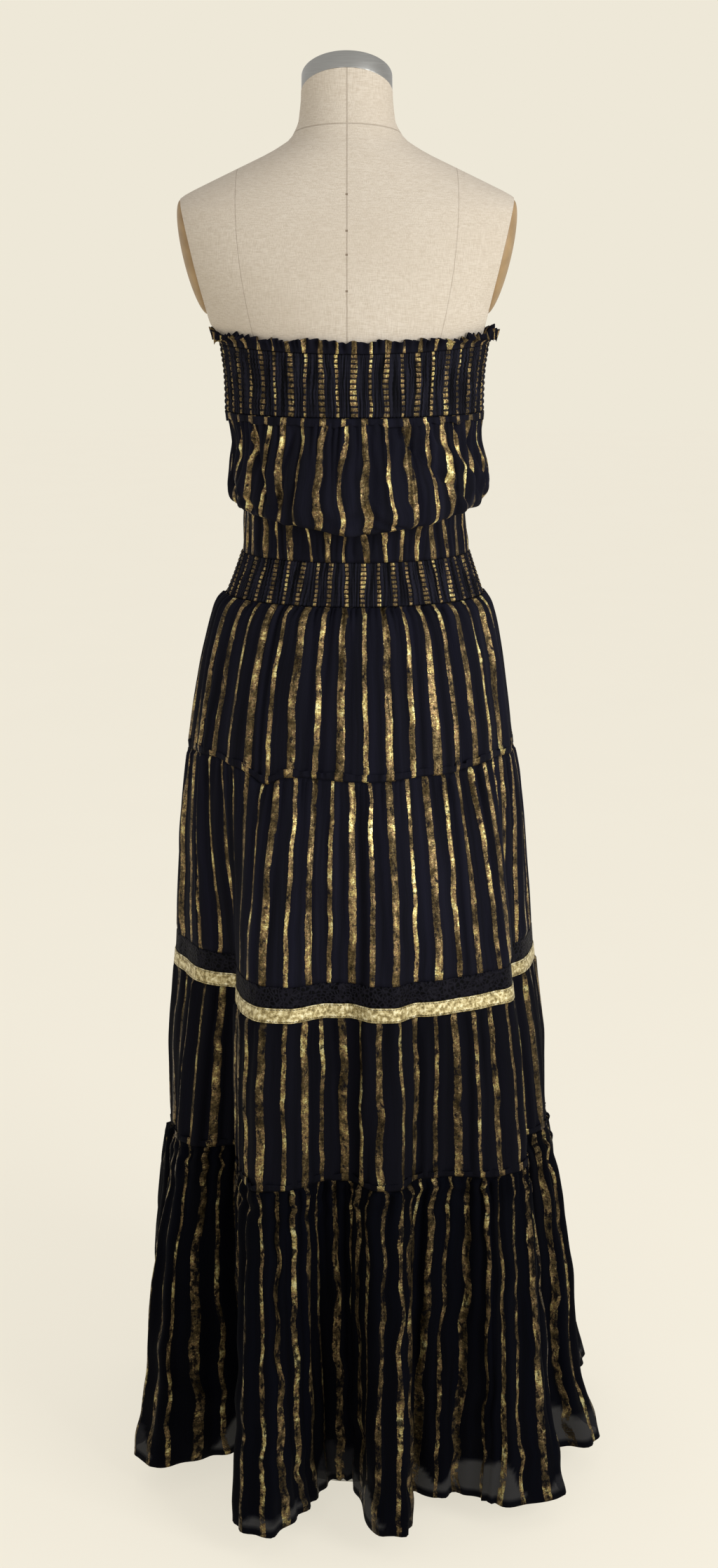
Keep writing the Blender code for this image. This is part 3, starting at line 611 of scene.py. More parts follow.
def striped_cotton(name, dark, bright=1.0, worn_at=0.42, sheer_to=None, elastics=0, length=1.0):
    """Sheer cotton voile, near-black navy, with woven gold metallic stripes. The eye gets dull dark cloth and
    cracked, patchy stripes: the narrow ones coppery, the wide ones olive bronze, both with painted glints of
    pale gold.
    bright below 1 paints shade into a darker copy of the voile."""
    finish, add, shader = new_finish(name)
    cut = add("ShaderNodeUVMap", uv_map="cut")
    u, v, _ = add("ShaderNodeSeparateXYZ", [cut]).outputs
    noise = {}
    for use, cells in {**STRIPE_NOISE, **(SMOCKED_NOISE if elastics else PLAIN_NOISE)}.items():
        over, down, detail, rough = cells
        scaled = add("ShaderNodeMapping", {"Vector": cut, "Scale": (over, down, 1.0)})
        settings = {"Vector": scaled, "Scale": 1.0, "Detail": detail, "Roughness": rough}
        noise[use] = add("ShaderNodeTexNoise", settings)

    # the edges of the stripes waver by a thread or two
    waver = add("ShaderNodeMath", [noise["waver"], 0.0020, -0.0010], operation="MULTIPLY_ADD")
    across = add("ShaderNodeMath", [u, waver], operation="ADD")
    pairs = add("ShaderNodeMath", [across, 2 * STRIPE_PITCH], operation="DIVIDE")
    place = add("ShaderNodeMath", [pairs], operation="FRACT")
    bands = []
    for centre, half in zip((0.25, 0.75), STRIPE_HALVES):
        share = half / (2 * STRIPE_PITCH)
        off = how_far(add, place, centre)
        bands.append(add("ShaderNodeMapRange", [off, share * 1.05, share * 0.95]))
    stripe = add("ShaderNodeMath", bands, operation="MAXIMUM")

    # cracks across the metallic yarn 2 to 3 mm apart, and patches where it is worn off
    off = how_far(add, noise["cracks"], 0.5)
    crack = add("ShaderNodeMapRange", [off, 0.004, 0.022, 0.15, 1.0])
    worn = add("ShaderNodeMapRange", [noise["wear"], worn_at - 0.05, worn_at + 0.03, 0.06, 1.0])
    left = add("ShaderNodeMath", [crack, worn], operation="MULTIPLY")
    gold = add("ShaderNodeMath", [stripe, left], operation="MULTIPLY")
    if elastics:
        # each row of elastic thread nips the stripe into a dash
        rows = add("ShaderNodeMath", [v, elastics / length], operation="MULTIPLY")
        part = add("ShaderNodeMath", [rows], operation="FRACT")
        stray = add("ShaderNodeMath", [noise["nips"], 0.30, -0.15], operation="MULTIPLY_ADD")
        nipped = add("ShaderNodeMath", [how_far(add, part, 0.5), stray], operation="ADD")
        dash = add("ShaderNodeMapRange", [nipped, 0.29, 0.36, 1.0, 0.04])
        gold = add("ShaderNodeMath", [gold, dash], operation="MULTIPLY")

    # drifts of colour along a stripe, 20 to 50 mm long
    drift = add("ShaderNodeMapRange", [noise["drift"], 0.2, 0.8, 0.07, 0.93])
    drift = add("ShaderNodeMath", [bands[0], 0.06, drift], operation="MULTIPLY_ADD")
    ramp = add("ShaderNodeValToRGB", [drift])
    stops = ramp.color_ramp.elements
    stops[0].position, stops[0].color = 0.34, colour("#241c10")
    stops[1].position, stops[1].color = 0.74, colour("#e9dfa4")
    for at, code in GOLD_TONES:
        stops.new(at).color = colour(code)
    # painted highlight: small pale gold glints, more of them where the stripe's drift is pale
    fleck = add("ShaderNodeMapRange", [noise["painted_glints"], 0.56, 0.66])
    share = add("ShaderNodeMapRange", [drift, 0.48, 0.66, 0.05, 0.75])
    painted_glints = add("ShaderNodeMath", [fleck, share], operation="MULTIPLY")
    glinted = add("ShaderNodeMix", {0: painted_glints, 6: ramp, 7: colour("#e9dda2")}, data_type="RGBA")
    # painted shade: bright below 1 mixes the gold towards near-black, for tiers lower down that get less
    # light
    toned = add("ShaderNodeMix", {0: bright, 6: colour("#0b0a09"), 7: glinted}, data_type="RGBA")

    if elastics:
        # painted highlight: fine upright streaks of the paler ground stand in for light on the ridges of the
        # small pleats, with the darker ground between; they follow noise, not the pleats
        streaks = add("ShaderNodeMapRange", [noise["crest_highlights"], 0.40, 0.62])
    else:
        # threads and broader streaks, darker and bluer by turns
        broad = add("ShaderNodeMapRange", [noise["streaks"], 0.3, 0.7])
        fine = add("ShaderNodeMath", [noise["threads"], 0.3], operation="MULTIPLY")
        streaks = add("ShaderNodeMath", [broad, 0.7, fine], operation="MULTIPLY_ADD")
    tones = {0: streaks, 6: colour(dark[0]), 7: colour(dark[1])}
    ground = add("ShaderNodeMix", tones, data_type="RGBA")
    if sheer_to is not None:
        # unlined at the hem: the voile is greyer there and lets the light through, its gold stripes don't
        sheer = add("ShaderNodeAttribute", attribute_name="sheer").outputs["Fac"]
        bare = add("ShaderNodeMath", [1.0, gold], operation="SUBTRACT")
        thin = add("ShaderNodeMath", [sheer, bare], operation="MULTIPLY")
        seen = add("ShaderNodeMapRange", [thin, 0.0, 1.0, 1.0, sheer_to])
        fill_sockets(shader, {"Alpha": seen})
        tones = {0: sheer, 6: ground, 7: colour("#1d1d20")}
        ground = add("ShaderNodeMix", tones, data_type="RGBA")
    # plain weave, drawn coarser than real so that it shows, and the cracks of the gold
    rise = add("ShaderNodeMath", [crack, stripe, noise["weave"]], operation="MULTIPLY_ADD")
    looks = {
        "Base Color": add("ShaderNodeMix", {0: gold, 6: ground, 7: toned}, data_type="RGBA"),
        "Metallic": add("ShaderNodeMath", [gold, 0.55], operation="MULTIPLY"),
        "Roughness": add("ShaderNodeMapRange", [gold, 0.0, 1.0, 0.85, 0.38]),
        # bright also lowers the shine of the darkened copies
        "Specular IOR Level": 0.075 * bright,
        "Normal": add("ShaderNodeBump", {"Height": rise, "Strength": 0.35, "Distance": 0.0010}),
    }
    fill_sockets(shader, looks)
    return finish


def crochet_lace():
    """Dense mercerised cotton crochet lace, black. The eye gets loops 4 mm across, with a faint shine round
    dark holes."""
    finish, add, shader = new_finish("mercerised crochet lace")
    cut = add("ShaderNodeUVMap", uv_map="cut")
    settings = {"Vector": cut, "Scale": 230.0}
    loops = add("ShaderNodeTexVoronoi", settings, feature="DISTANCE_TO_EDGE")
    yarn = add("ShaderNodeMapRange", [loops, 0.02, 0.30, 1.0, 0.0])
    tones = {0: yarn, 6: colour("#010102"), 7: colour("#15141b")}
    looks = {
        "Base Color": add("ShaderNodeMix", tones, data_type="RGBA"),
        "Roughness": 0.55,
        "Specular IOR Level": 0.045,
        "Normal": add("ShaderNodeBump", {"Height": yarn, "Strength": 0.9, "Distance": 0.0012}),
    }
    fill_sockets(shader, looks)
    return finish


def metallic_ribbon():
    """Ribbon woven of flat metallic yarn, pale gold. The eye gets bright crumpled glints and dark patches,
    painted highlight and shade in its colour.
    """
    finish, add, shader = new_finish("woven metallic ribbon")
    cut = add("ShaderNodeUVMap", uv_map="cut")
    settings = {"Vector": cut, "Scale": 210.0, "Detail": 6.0, "Roughness": 0.6}
    crumpled = add("ShaderNodeTexNoise", settings)
    # painted highlight and shade: the crumple noise that raises the bumps also colours them, pale where they
    # rise and dark where they sink
    ramp = add("ShaderNodeValToRGB", [crumpled])
    stops = ramp.color_ramp.elements
    stops[0].position, stops[0].color = 0.32, colour("#5c4f2c")
    stops[1].position, stops[1].color = 0.70, colour("#f3eccb")
    for at, code in ((0.46, "#9a8a5c"), (0.55, "#c9bb8e")):
        stops.new(at).color = colour(code)
    # a row of dark stitches runs close to each edge
    u, v, _ = add("ShaderNodeSeparateXYZ", [cut]).outputs
    off_middle = how_far(add, v, RIBBON_WIDTH / 2)
    row_at = RIBBON_WIDTH / 2 - STITCH_INSET
    row = add("ShaderNodeMath", [off_middle, row_at, STITCH_HALF_WIDTH], operation="COMPARE")
    step = add("ShaderNodeMath", [u, 1 / STITCH_PITCH], operation="MULTIPLY")
    part = add("ShaderNodeMath", [step], operation="FRACT")
    sewn = add("ShaderNodeMath", [part, 0.7], operation="LESS_THAN")
    stitch = add("ShaderNodeMath", [row, sewn], operation="MULTIPLY")
    # plain weave, drawn 1.4 by 0.7 mm to a thread, which is coarser than real, so that it shows
    yarns = add("ShaderNodeMapping", {"Vector": cut, "Scale": (700.0, 1400.0, 1.0)})
    weave = add("ShaderNodeTexNoise", {"Vector": yarns, "Scale": 1.0, "Detail": 2.0})
    rise = add("ShaderNodeMath", [crumpled, 2.0, weave], operation="MULTIPLY_ADD")
    tones = {0: stitch, 6: ramp, 7: colour("#2c2415")}
    looks = {
        "Base Color": add("ShaderNodeMix", tones, data_type="RGBA"),
        "Metallic": 0.55,
        "Roughness": 0.42,
        "Normal": add("ShaderNodeBump", {"Height": rise, "Strength": 0.5, "Distance": 0.0012}),
    }
    fill_sockets(shader, looks)
    return finish


def linen_canvas():
    """Natural linen canvas drawn over a padded form. The eye gets uneven slubbed threads, and seams."""
    finish, add, shader = new_finish("natural linen canvas")
    place = add("ShaderNodeTexCoord").outputs["Object"]
    x, y, z = add("ShaderNodeSeparateXYZ", [place]).outputs
    # threads 0.8 mm apart with slubs 10 to 30 mm long, drawn about twice as coarse so that they show
    slubs = []
    for scale in ((130.0, 130.0, 1500.0), (1500.0, 1500.0, 110.0)):
        stretched = add("ShaderNodeMapping", {"Vector": place, "Scale": scale})
        slubs.append(add("ShaderNodeTexNoise", {"Vector": stretched, "Scale": 1.0, "Detail": 3.0}))
    thread = add("ShaderNodeMath", slubs, operation="ADD")
    patch = add("ShaderNodeTexNoise", {"Vector": place, "Scale": 9.0, "Detail": 3.0})
    tones = {0: patch, 6: colour("#bcb0a0"), 7: colour("#cfc6b9")}
    pale = add("ShaderNodeMix", tones, data_type="RGBA")
    fleck = add("ShaderNodeMapRange", [thread, 0.80, 1.16])
    cloth = add("ShaderNodeMix", {0: fleck, 6: colour("#b6aa9a"), 7: pale}, data_type="RGBA")
    centred = how_far(add, x, NECK_X)
    # the shaped side-back seam: its distance from the middle follows a curve of the height
    rise = add("ShaderNodeMath", [z, 1.37], operation="SUBTRACT")
    bend = add("ShaderNodeMath", [rise, -0.80, 0.26], operation="MULTIPLY_ADD")
    reach = add("ShaderNodeMath", [rise, bend, 0.100], operation="MULTIPLY_ADD")
    # pressed flat, so fainter than the others: only the middle of its line shows
    shaped = add("ShaderNodeMath", [how_far(add, centred, reach), 0.0004], operation="ADD")
    # the seam at the root of the neck, higher behind
    level = add("ShaderNodeMath", [y, 0.18, z], operation="MULTIPLY_ADD")
    near = add("ShaderNodeMath", [centred, shaped], operation="MINIMUM")
    nearest = add("ShaderNodeMath", [near, how_far(add, level, 1.594)], operation="MINIMUM")
    line = add("ShaderNodeMapRange", [nearest, 0.0004, 0.0011, 1.0, 0.0])
    # small tacks left in the centre-back seam
    behind = add("ShaderNodeMath", [y, 0.0], operation="LESS_THAN")
    tacks = add("ShaderNodeMath", [centred, 0.0013], operation="LESS_THAN")
    tacks = add("ShaderNodeMath", [tacks, behind], operation="MULTIPLY")
    at_tack = 0.0
    for height in TACK_HEIGHTS:
        here = add("ShaderNodeMath", [z, height, 0.0011], operation="COMPARE")
        at_tack = add("ShaderNodeMath", [here, at_tack], operation="MAXIMUM")
    tacked = add("ShaderNodeMath", [tacks, at_tack], operation="MULTIPLY")
    seam = add("ShaderNodeMath", [line, 0.45, tacked], operation="MULTIPLY_ADD", use_clamp=True)
    groove = add("ShaderNodeMath", [line, -1.5, thread], operation="MULTIPLY_ADD")
    tones = {0: seam, 6: cloth, 7: colour("#7d6f60")}
    looks = {
        "Base Color": add("ShaderNodeMix", tones, data_type="RGBA"),
        "Roughness": 0.9,
        "Specular IOR Level": 0.2,
        "Normal": add("ShaderNodeBump", {"Height": groove, "Strength": 0.35, "Distance": 0.001}),
    }
    fill_sockets(shader, looks)
    return finish


def tan_board():
    """Tan leather over board, at the cut arms. The eye gets a smooth, faintly mottled warm brown."""
    finish, add, shader = new_finish("tan leather over board")
    place = add("ShaderNodeTexCoord").outputs["Object"]
    mottle = add("ShaderNodeTexNoise", {"Vector": place, "Scale": 60.0, "Detail": 6.0})
    # leather grain about 1 mm across
    grain = add("ShaderNodeTexNoise", {"Vector": place, "Scale": 900.0, "Detail": 2.0})
    tones = {0: mottle, 6: colour("#7a6242"), 7: colour("#a98c63")}
    looks = {
        "Base Color": add("ShaderNodeMix", tones, data_type="RGBA"),
        "Roughness": 0.55,
        "Normal": add("ShaderNodeBump", {"Height": grain, "Strength": 0.2, "Distance": 0.0005}),
    }
    fill_sockets(shader, looks)
    return finish


def brushed_steel():
    """Stainless steel, brushed round its rim. The eye gets soft bands of light with fine streaks in them."""
    finish, add, shader = new_finish("brushed stainless steel")
    place = add("ShaderNodeTexCoord").outputs["Object"]
    # brush lines drawn 0.5 mm apart, coarser than real, so that they show
    streak = add("ShaderNodeMapping", {"Vector": place, "Scale": (30.0, 30.0, 2200.0)})
    lines = add("ShaderNodeTexNoise", {"Vector": streak, "Scale": 1.0, "Detail": 3.0})
    tones = {0: lines, 6: colour("#8d8c89"), 7: colour("#b4b3af")}
    looks = {
        "Base Color": add("ShaderNodeMix", tones, data_type="RGBA"),
        "Metallic": 1.0,
        "Roughness": add("ShaderNodeMapRange", [lines, 0.3, 0.7, 0.34, 0.46]),
        "Normal": add("ShaderNodeBump", {"Height": lines, "Strength": 0.1, "Distance": 0.0003}),
    }
    fill_sockets(shader, looks)
    return finish


# The form


def keep_side(shape, point, normal):
    """Cuts a shape by a plane, drops what lies on the normal's side, and closes the cut."""
    whole = shape.verts[:] + shape.edges[:] + shape.faces[:]
    bmesh.ops.bisect_plane(shape, geom=whole, plane_co=point, plane_no=normal, clear_outer=True)
    bmesh.ops.holes_fill(shape, edges=[e for e in shape.edges if e.is_boundary])


def plate_frame(side):
    """Centre and outward direction of an armhole, on the right for +1 and on the left for -1."""
    x, y, z = PLATE_CENTRE
    centre = Vector((NECK_X + side * x, y, z))
    return centre, Vector((side * math.cos(PLATE_TILT), 0.0, -math.sin(PLATE_TILT)))


def neck_axis():
    return Vector((0.0, math.sin(NECK_TILT), math.cos(NECK_TILT)))


def make_form(finish):
    """The torso: a ring grid laid on the form's sections, its arms and neck cut off flat."""
    shape = bmesh.new()
    bmesh.ops.create_grid(shape, x_segments=128, y_segments=150, size=0.5)
    heights, *reaches = zip(*FORM)
    for vert in shape.verts:
        angle = 2 * math.pi * (vert.co.x + 0.5)
        height = heights[0] + (heights[-1] - heights[0]) * (vert.co.y + 0.5)
        centre, half, back, front = (np.interp(height, heights, column) for column in reaches)
        across, away = math.cos(angle), math.sin(angle)
        radius = 1.0 / math.hypot(across / half, away / (front if away > 0 else back))
        vert.co = (centre + radius * across, radius * away, height)
    bmesh.ops.remove_doubles(shape, verts=shape.verts, dist=1e-6)
    inner = [v for v in shape.verts if not v.is_boundary]
    bmesh.ops.smooth_vert(shape, verts=inner, factor=0.5, use_axis_x=True, use_axis_y=True, use_axis_z=True)
    bmesh.ops.holes_fill(shape, edges=[e for e in shape.edges if e.is_boundary])
    for side in (1, -1):
        keep_side(shape, *plate_frame(side))
    keep_side(shape, Vector((NECK_X, 0.0, NECK_CUT)), neck_axis())
    bmesh.ops.recalc_face_normals(shape, faces=shape.faces)
    add_piece("linen_torso", to_mesh(shape, "linen torso", 40), finish, ["form_torso"])


def make_plate(side, name, node, finish):
    """A shallow oval dome of board, flat where it lies on the cut arm, with a soft rim."""
    shape = bmesh.new()
    bmesh.ops.create_uvsphere(shape, u_segments=64, v_segments=40, radius=1.0)
    lying = Matrix.Rotation(math.pi / 2, 3, "Y")
    bmesh.ops.rotate(shape, verts=shape.verts, cent=(0, 0, 0), matrix=lying)
    bmesh.ops.scale(shape, verts=shape.verts, vec=PLATE_SIZE)
    keep_side(shape, Vector((0, 0, 0)), Vector((-1, 0, 0)))
    centre, outward = plate_frame(side)
    if side < 0:
        half_turn = Matrix.Rotation(math.pi, 3, "Z")
        bmesh.ops.rotate(shape, verts=shape.verts, cent=(0, 0, 0), matrix=half_turn)
    turn = Vector((side, 0, 0)).rotation_difference(outward).to_matrix()
    bmesh.ops.rotate(shape, verts=shape.verts, cent=(0, 0, 0), matrix=turn)
    bmesh.ops.translate(shape, verts=shape.verts, vec=centre + outward * JOIN)
    bmesh.ops.recalc_face_normals(shape, faces=shape.faces)
    add_piece(name, to_mesh(shape, name, 40), finish, [node])


def make_cap(finish):
    """A plain round neck cap with softened rims."""
    shape = bmesh.new()
    bmesh.ops.create_cone(
        shape, cap_ends=True, segments=128, radius1=CAP_RADIUS, radius2=CAP_RADIUS, depth=CAP_HEIGHT
    )
    rims = [e for e in shape.edges if abs(e.verts[0].co.z - e.verts[1].co.z) < CAP_HEIGHT / 2]
    bmesh.ops.bevel(shape, geom=rims, offset=0.0012, segments=3, profile=0.5, affect="EDGES", material=-1)
    turn = Vector((0, 0, 1)).rotation_difference(neck_axis()).to_matrix()
    bmesh.ops.rotate(shape, verts=shape.verts, cent=(0, 0, 0), matrix=turn)
    low = Vector((NECK_X, 0.0, NECK_CUT)) + neck_axis() * (JOIN + CAP_HEIGHT / 2)
    bmesh.ops.translate(shape, verts=shape.verts, vec=low)
    add_piece("steel_neck_cap", to_mesh(shape, "steel_neck_cap", 30), finish, ["neck_cap"])


# The dress


def sew_on(name, surface, grid, cut, relief, finish, nodes, wander=0.0, sheer_edge=0.0):
    """Lays a sheet of striped voile in place of its nodes. Its cut is given in stripes and in metres."""
    flat = (cut[0] * STRIPE_PITCH, cut[1])
    mesh = laid_sheet(name, surface, *grid, flat, relief, wander)
    if sheer_edge:
        mark_sheer(mesh, flat, sheer_edge)
    piece = add_piece(name, mesh, finish, nodes, CLOTH)


def mark_sheer(mesh, cut, edge):
    """Marks the unlined cloth above the hem, whose upper edge dips and rises."""
    drawn = np.empty(len(mesh.loops) * 2, np.float32)
    mesh.uv_layers["cut"].data.foreach_get("uv", drawn)
    share, height = drawn[0::2] / cut[0] * 2 * np.pi, drawn[1::2]
    waves = 0.5 * np.sin(9 * share + 0.6) + 0.4 * np.sin(23 * share) + 0.2 * np.sin(41 * share + 1.0)
    top = edge * (0.85 + waves)
    corner = np.empty(len(mesh.loops), np.int32)
    mesh.loops.foreach_get("vertex_index", corner)
    marks = np.zeros(len(mesh.vertices), np.float32)
    marks[corner] = ease((top - height) / 0.006) * ease((height - HEM_TURNING) / 0.002)
    mesh.attributes.new("sheer", "FLOAT", "POINT").data.foreach_set("value", marks)


def smocking(pleats, elastics, seed):
    """Fine upright pleats, pinched at each row of elastic and puffed between the rows."""
    chance = np.random.default_rng(seed)
    own = own_sizes(chance, 0.6, 1.0, pleats)
    wander = chance.uniform(-0.28, 0.28, (elastics + 2, 61))
    wander[:, -1] = wander[:, 0]

    def relief(around, along):
        waves = around * pleats / 2
        line, over = along * elastics, around * 30
        row, cell = np.clip(line.astype(int), 0, elastics), np.clip(over.astype(int), 0, 59)
        part, part_over = ease(line - row), over - cell
        here, after = (
            wander[row + k, cell] * (1 - part_over) + wander[row + k, cell + 1] * part_over for k in (0, 1)
        )
        sway = here * (1 - part) + after * part
        pinch = np.exp(-((((line + 0.5) % 1.0) - 0.5) / 0.2) ** 2)
        deep = np.interp(waves % pleats, np.arange(pleats + 1), own)
        out = PLEAT_DEPTH * deep * np.cos(2 * np.pi * (waves + sway)) * (1 - 0.35 * pinch)
        out += PLEAT_PUFF * (1 - pinch) - PLEAT_NIP * pinch
        return out, np.zeros_like(out)

    return relief


class HeadingRuffle(Surface):
    """The ruffled edge above the first elastic, with loops that stand out at both sides."""

    def __init__(self, bust, seed):
        super().__init__(bust.rows, rise=bust.rise)
        chance = np.random.default_rng(seed)
        self.edges = uneven_places(chance, HEADING_LOOPS)
        self.own = own_sizes(chance, 0.5, 1.0, HEADING_LOOPS)
        self.tall = own_sizes(chance, -1.0, 1.0, HEADING_LOOPS)

    def points(self, around, along):
        foot = super().points(around, np.zeros_like(along))
        share = 1.0 - along
        number = np.arange(HEADING_LOOPS + 1)
        waves = np.interp(around % 2.0, self.edges, number)
        deep, high = np.interp(waves, number, self.own), np.interp(waves, number, self.tall)
        degrees = np.radians(self.degrees(around, along))
        sides = np.cos(degrees) ** 8
        outward = np.stack([np.cos(degrees), np.sin(degrees), np.zeros_like(degrees)], axis=-1)
        # it curls outward on an arc, hardly at the back and right over at both sides
        curl = np.radians(HEADING_CURL[0] + HEADING_CURL[1] * sides)
        turn, reach = share * curl, HEADING_LENGTH / curl
        wave = HEADING_WAVE * share * deep * (1 + sides) * np.sin(2 * np.pi * waves)
        out = HEADING_OFF + wave * np.cos(turn) + reach * (1 - np.cos(turn))
        foot = foot + outward * out[..., None]
        foot[..., 2] += (reach - wave) * np.sin(turn) + share * HEADING_UNEVEN * high
        return foot


class SeamRuffle(Surface):
    """A narrow ruffle along a seam, its loops uneven. Its foot and its edge are places down the cloth."""

    def __init__(self, cloth, foot, edge, loops, wave, flare, seed):
        super().__init__(cloth.rows, cloth.gather_top, cloth.gather_low, cloth.belly, cloth.rise, cloth.sag)
        self.foot, self.edge, self.loops, self.wave, self.flare = foot, edge, loops, wave, flare
        chance = np.random.default_rng(seed)
        self.edges = uneven_places(chance, loops)
        self.own, self.tall = (own_sizes(chance, least, 1.0, loops) for least in (0.3, 0.55))

    def points(self, around, along):
        share = 1.0 - along
        number = np.arange(self.loops + 1)
        waves = np.interp(around % 2.0, self.edges, number)
        down = self.foot + (self.edge - self.foot) * share * np.interp(waves, number, self.tall)
        place = super().points(around, down)
        degrees = np.radians(self.degrees(around, along))
        outward = np.stack([np.cos(degrees), np.sin(degrees), np.zeros_like(degrees)], axis=-1)
        deep = np.interp(waves, number, self.own)
        out = self.flare + self.wave * (0.25 + share) * deep**3 * (1 + np.sin(2 * np.pi * waves)) / 2
        return place + outward * out[..., None]


def bodice_relief(around, along):
    """Gathers from the bust and from the waist, broad folds between them, dents and placed creases."""
    folds = gathers(around, along, 92, 0.0026, 0.7, 41)
    folds += gathers(around, 1.0 - along, 84, 0.0018, 0.30, 42)
    folds += gathers(around, along, 40, 0.0030, 3.0, 43) * np.sin(np.pi * np.clip(along / 0.6, 0, 1))
    folds += creases(around, along, BODICE_CREASES) + crumple(around, along, 48, 9, 0.0018, 44)
    return flattened(folds, along, 0.04, 0.15)


def tier_relief(seed, fine, broad, crumpled, table, low_gather=0.0, loose=False):
    """Folds of one tier: fine gathers at its top, broader ones all the way down, dents and placed creases."""

    def relief(around, along):
        folds = gathers(around, along, *fine, seed) + gathers(around, along, *broad, 6.0, seed + 1)
        folds += creases(around, along, table) + crumple(around, along, *crumpled, seed + 3)
        if low_gather:
            folds += gathers(around, 1.0 - along, fine[0], low_gather, 0.12, seed + 2)
        return flattened(folds, along, 0.03, 0.08, loose)

    return relief


def build_dress():
    voile = striped_cotton("striped voile", GROUND)
    # darker copies for the third tier and the flounce: painted shade, for less light on the lower skirt
    shaded_low_voile = striped_cotton("striped voile of the third tier, darkened as painted shade", SHADED_LOW_GROUND, 0.62, 0.44)
    shaded_flounce_voile = striped_cotton("striped voile of the flounce, darkened as painted shade", SHADED_FLOUNCE_GROUND, 0.52, 0.485, 0.84)
    bust = Surface(BUST, rise=FRONT_RISE)
    waist = Surface(WAIST)
    bodice = Surface(BODICE, belly=0.0026, sag=BODICE_SAG)
    tier_1 = Surface(TIER_1, 0.0010, 0.0030)
    tier_2 = Surface(TIER_2, 0.0030, 0.0022)
    tier_3 = Surface(TIER_3, 0.0022, 0.0025)
    tier_4 = Surface(TIER_4, 0.0025, 0.0060)

    heading = HeadingRuffle(bust, 31)
    sew_on("bust_ruffle", heading, (1000, 6), (46, 0.012), no_folds, voile, ["bust_heading"])
    for name, surface, pleats, elastics, cut, node, seed in (
        ("bust_smocking", bust, 200, 12, (46, 0.069), "bust_band", 11),
        ("waist_smocking", waist, 190, 10, (44, 0.050), "waist_band", 12),
    ):
        called = name.replace("_", " ") + " voile"
        # the smocked ground runs from the dress's dark tone up to the painted pleat highlight
        finish = striped_cotton(called, (GROUND[0], PAINTED_CREST_HIGHLIGHT), elastics=elastics, length=cut[1])
        grid, relief = (pleats * 4, elastics * 3), smocking(pleats, elastics, seed)
        sew_on(name, surface, grid, cut, relief, finish, [node], 0.0030)

    relief_1 = tier_relief(51, (118, 0.0024, 0.6), (54, 0.0026), (40, 5, 0.0008), TIER_1_CREASES)
    relief_2 = tier_relief(54, (120, 0.0026, 0.5), (60, 0.0026), (46, 6, 0.0008), TIER_2_CREASES)
    relief_3 = tier_relief(57, (100, 0.0012, 0.3), (64, 0.0026), (46, 6, 0.0009), TIER_3_CREASES, 0.0018)
    relief_4 = tier_relief(60, (150, 0.0034, 0.5), (84, 0.0042), (74, 15, 0.0026), TIER_4_CREASES, loose=True)
    for name, surface, grid, cut, relief, finish, node, *edges in (
        ("blouse", bodice, (480, 72), (36, 0.220), bodice_relief, voile, "bodice", 0.0045),
        ("skirt_tier_1", tier_1, (520, 36), (40, 0.190), relief_1, voile, "tier_1", 0.0018),
        ("skirt_tier_2", tier_2, (560, 40), (54, 0.228), relief_2, voile, "tier_2", 0.0016),
        ("skirt_tier_3", tier_3, (560, 36), (64, 0.200), relief_3, shaded_low_voile, "tier_3", 0.0018),
        ("flounce", tier_4, (640, 72), (92, 0.415), relief_4, shaded_flounce_voile, "tier_4", 0.0028, SHEER_EDGE),
    ):
        sew_on(name, surface, grid, cut, relief, finish, [node + "_back", node + "_front"], *edges)

    for name, cloth, placed, loops, wave, flare, node, seed, stripes, finish in (
        ("blouse_ruffle", bodice, (0.002, 0.044), 90, 0.0022, 0.0007, "bust_frill", 71, 36, voile),
        ("tier_1_ruffle", tier_1, (0.995, 0.950), 110, 0.0048, 0.0009, "seam_frill_1", 72, 40, voile),
        ("tier_3_ruffle", tier_3, (0.995, 0.945), 120, 0.0050, 0.0009, "seam_frill_3", 73, 64, shaded_low_voile),
    ):
        ruffle = SeamRuffle(cloth, *placed, loops, wave, flare, seed)
        sew_on(name, ruffle, (loops * 6, 4), (stripes, RUFFLE_CUT), no_folds, finish, [node])

    lace, ribbon = crochet_lace(), metallic_ribbon()
    for name, table, rows, cut, finish, slot, node, stand_off, wall in (
        ("crochet_insertion", LACE, 8, LACE_CUT, lace, "crochet_lace", "lace_band", 0.0004, 0.0012),
        ("metallic_trim", RIBBON, 6, RIBBON_CUT, ribbon, "metallic_ribbon", "gold_ribbon", 0.0010, 0.0010),
    ):

        def relief(around, along):
            out, sideways = gathers(around, along, 90, 0.0004, 9.0, 81)
            return out + stand_off, sideways

        mesh = laid_sheet(name, Surface(table, 0.0022, 0.0022), 560, rows, cut, relief)
        piece = add_piece(name, mesh, finish, [node], wall)


# Stage, light and camera


def build_stage():
    """A plain pale floor, wide enough that its edge is lost in the room behind it."""
    shape = bmesh.new()
    bmesh.ops.create_circle(shape, cap_ends=True, segments=96, radius=FLOOR_RADIUS)
    mesh = to_mesh(shape, "studio floor")
    finish, add, shader = new_finish("pale floor, lit from below")
    place = add("ShaderNodeTexCoord").outputs["Object"]
    mottle = add("ShaderNodeTexNoise", {"Vector": place, "Scale": 3.0, "Detail": 4.0})
    tones = {0: mottle, 6: colour("#86827a"), 7: colour("#8a867e")}
    looks = {
        "Base Color": add("ShaderNodeMix", tones, data_type="RGBA"),
        "Emission Color": colour(ROOM),
        "Emission Strength": FLOOR_GLOW,
        "Roughness": 1.0,
        "Specular IOR Level": 0.0,
    }
    fill_sockets(shader, looks)
    mesh.materials.append(finish)
    floor = bpy.data.objects.new("studio_floor", mesh)
    bpy.context.scene.collection.objects.link(floor)


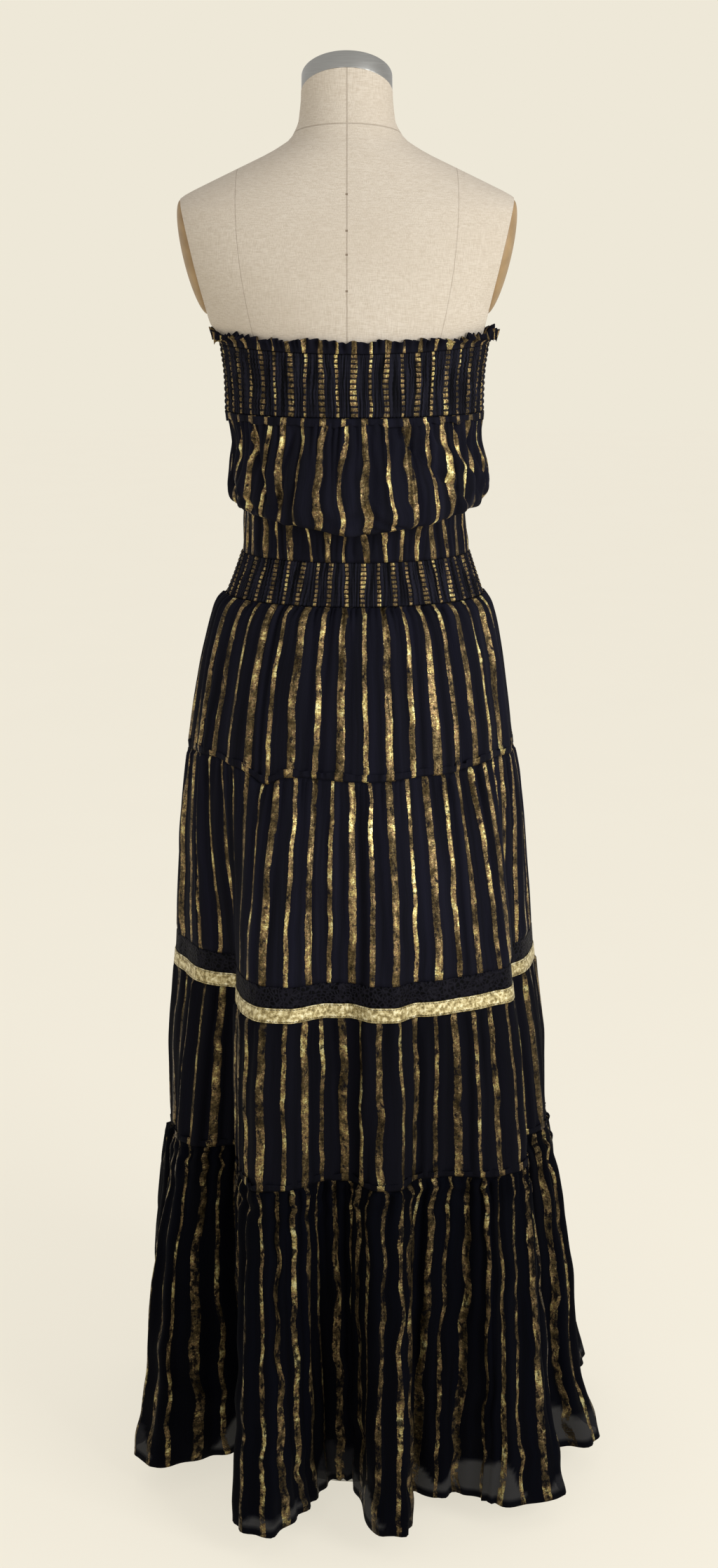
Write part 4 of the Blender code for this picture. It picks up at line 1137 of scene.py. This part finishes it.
def add_light(name, place, aim, size, power, tint):
    """A soft rectangular light that faces a point."""
    lamp = bpy.data.lights.new(name, "AREA")
    lamp.shape, lamp.size, lamp.size_y = "RECTANGLE", *size
    lamp.energy, lamp.color = power, tint
    thing = bpy.data.objects.new(name, lamp)
    thing.location = place
    thing.rotation_euler = (Vector(aim) - Vector(place)).to_track_quat("-Z", "Y").to_euler()
    bpy.context.scene.collection.objects.link(thing)


def build_light():
    """A window at the right, a fill above the camera, and a soft room that looks paler than it shines."""
    world = bpy.data.worlds.new("soft room light")
    world.use_nodes = True
    tree = world.node_tree
    lit = tree.nodes["Background"]
    fill_sockets(lit, [(1.0, 0.985, 0.96, 1.0), ROOM_LIGHT])
    seen = add_node(tree, "ShaderNodeBackground", [colour(ROOM), 1.0])
    to_camera = add_node(tree, "ShaderNodeLightPath").outputs["Is Camera Ray"]
    room = add_node(tree, "ShaderNodeMixShader", [to_camera, lit, seen])
    fill_sockets(tree.nodes["World Output"], {"Surface": room})
    bpy.context.scene.world = world
    add_light("window at the right", (2.6, -2.4, 2.0), (0.0, 0.0, 1.0), (1.6, 2.4), 92.0, (0.98, 0.995, 1.0))
    add_light("fill above the camera", (-0.8, -3.4, 2.6), (0.0, 0.0, 0.9), (2.0, 1.4), 14.0, (1.0, 1.0, 1.0))
    bpy.context.scene.view_settings.view_transform = "Standard"


def build_camera():
    """At the photograph's viewing angle: 2.5 m behind the dress, at shoulder height, tilted down."""
    lens = bpy.data.cameras.new("camera")
    lens.sensor_fit, lens.sensor_height = "VERTICAL", SENSOR_MM
    lens.lens = FOCAL_PX / PHOTO_HEIGHT_PX * SENSOR_MM
    camera = bpy.data.objects.new("camera", lens)
    camera.location = CAMERA_PLACE
    camera.rotation_euler = (CAMERA_TURN, 0.0, 0.0)
    bpy.context.scene.collection.objects.link(camera)
    bpy.context.scene.camera = camera


def main():
    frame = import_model()
    steel, board = brushed_steel(), tan_board()
    make_form(linen_canvas())
    make_plate(1, "arm_board_right", "arm_plate_right", board)
    make_plate(-1, "arm_board_left", "arm_plate_left", board)
    make_cap(steel)
    for name in ("stand_base", "stand_pole"):
        # the foot and the pole keep their CAD shapes
        materials = frame["nodes"][name].data.materials
        materials.clear()
        materials.append(steel)
    build_dress()
    build_stage()
    build_light()
    build_camera()


main()
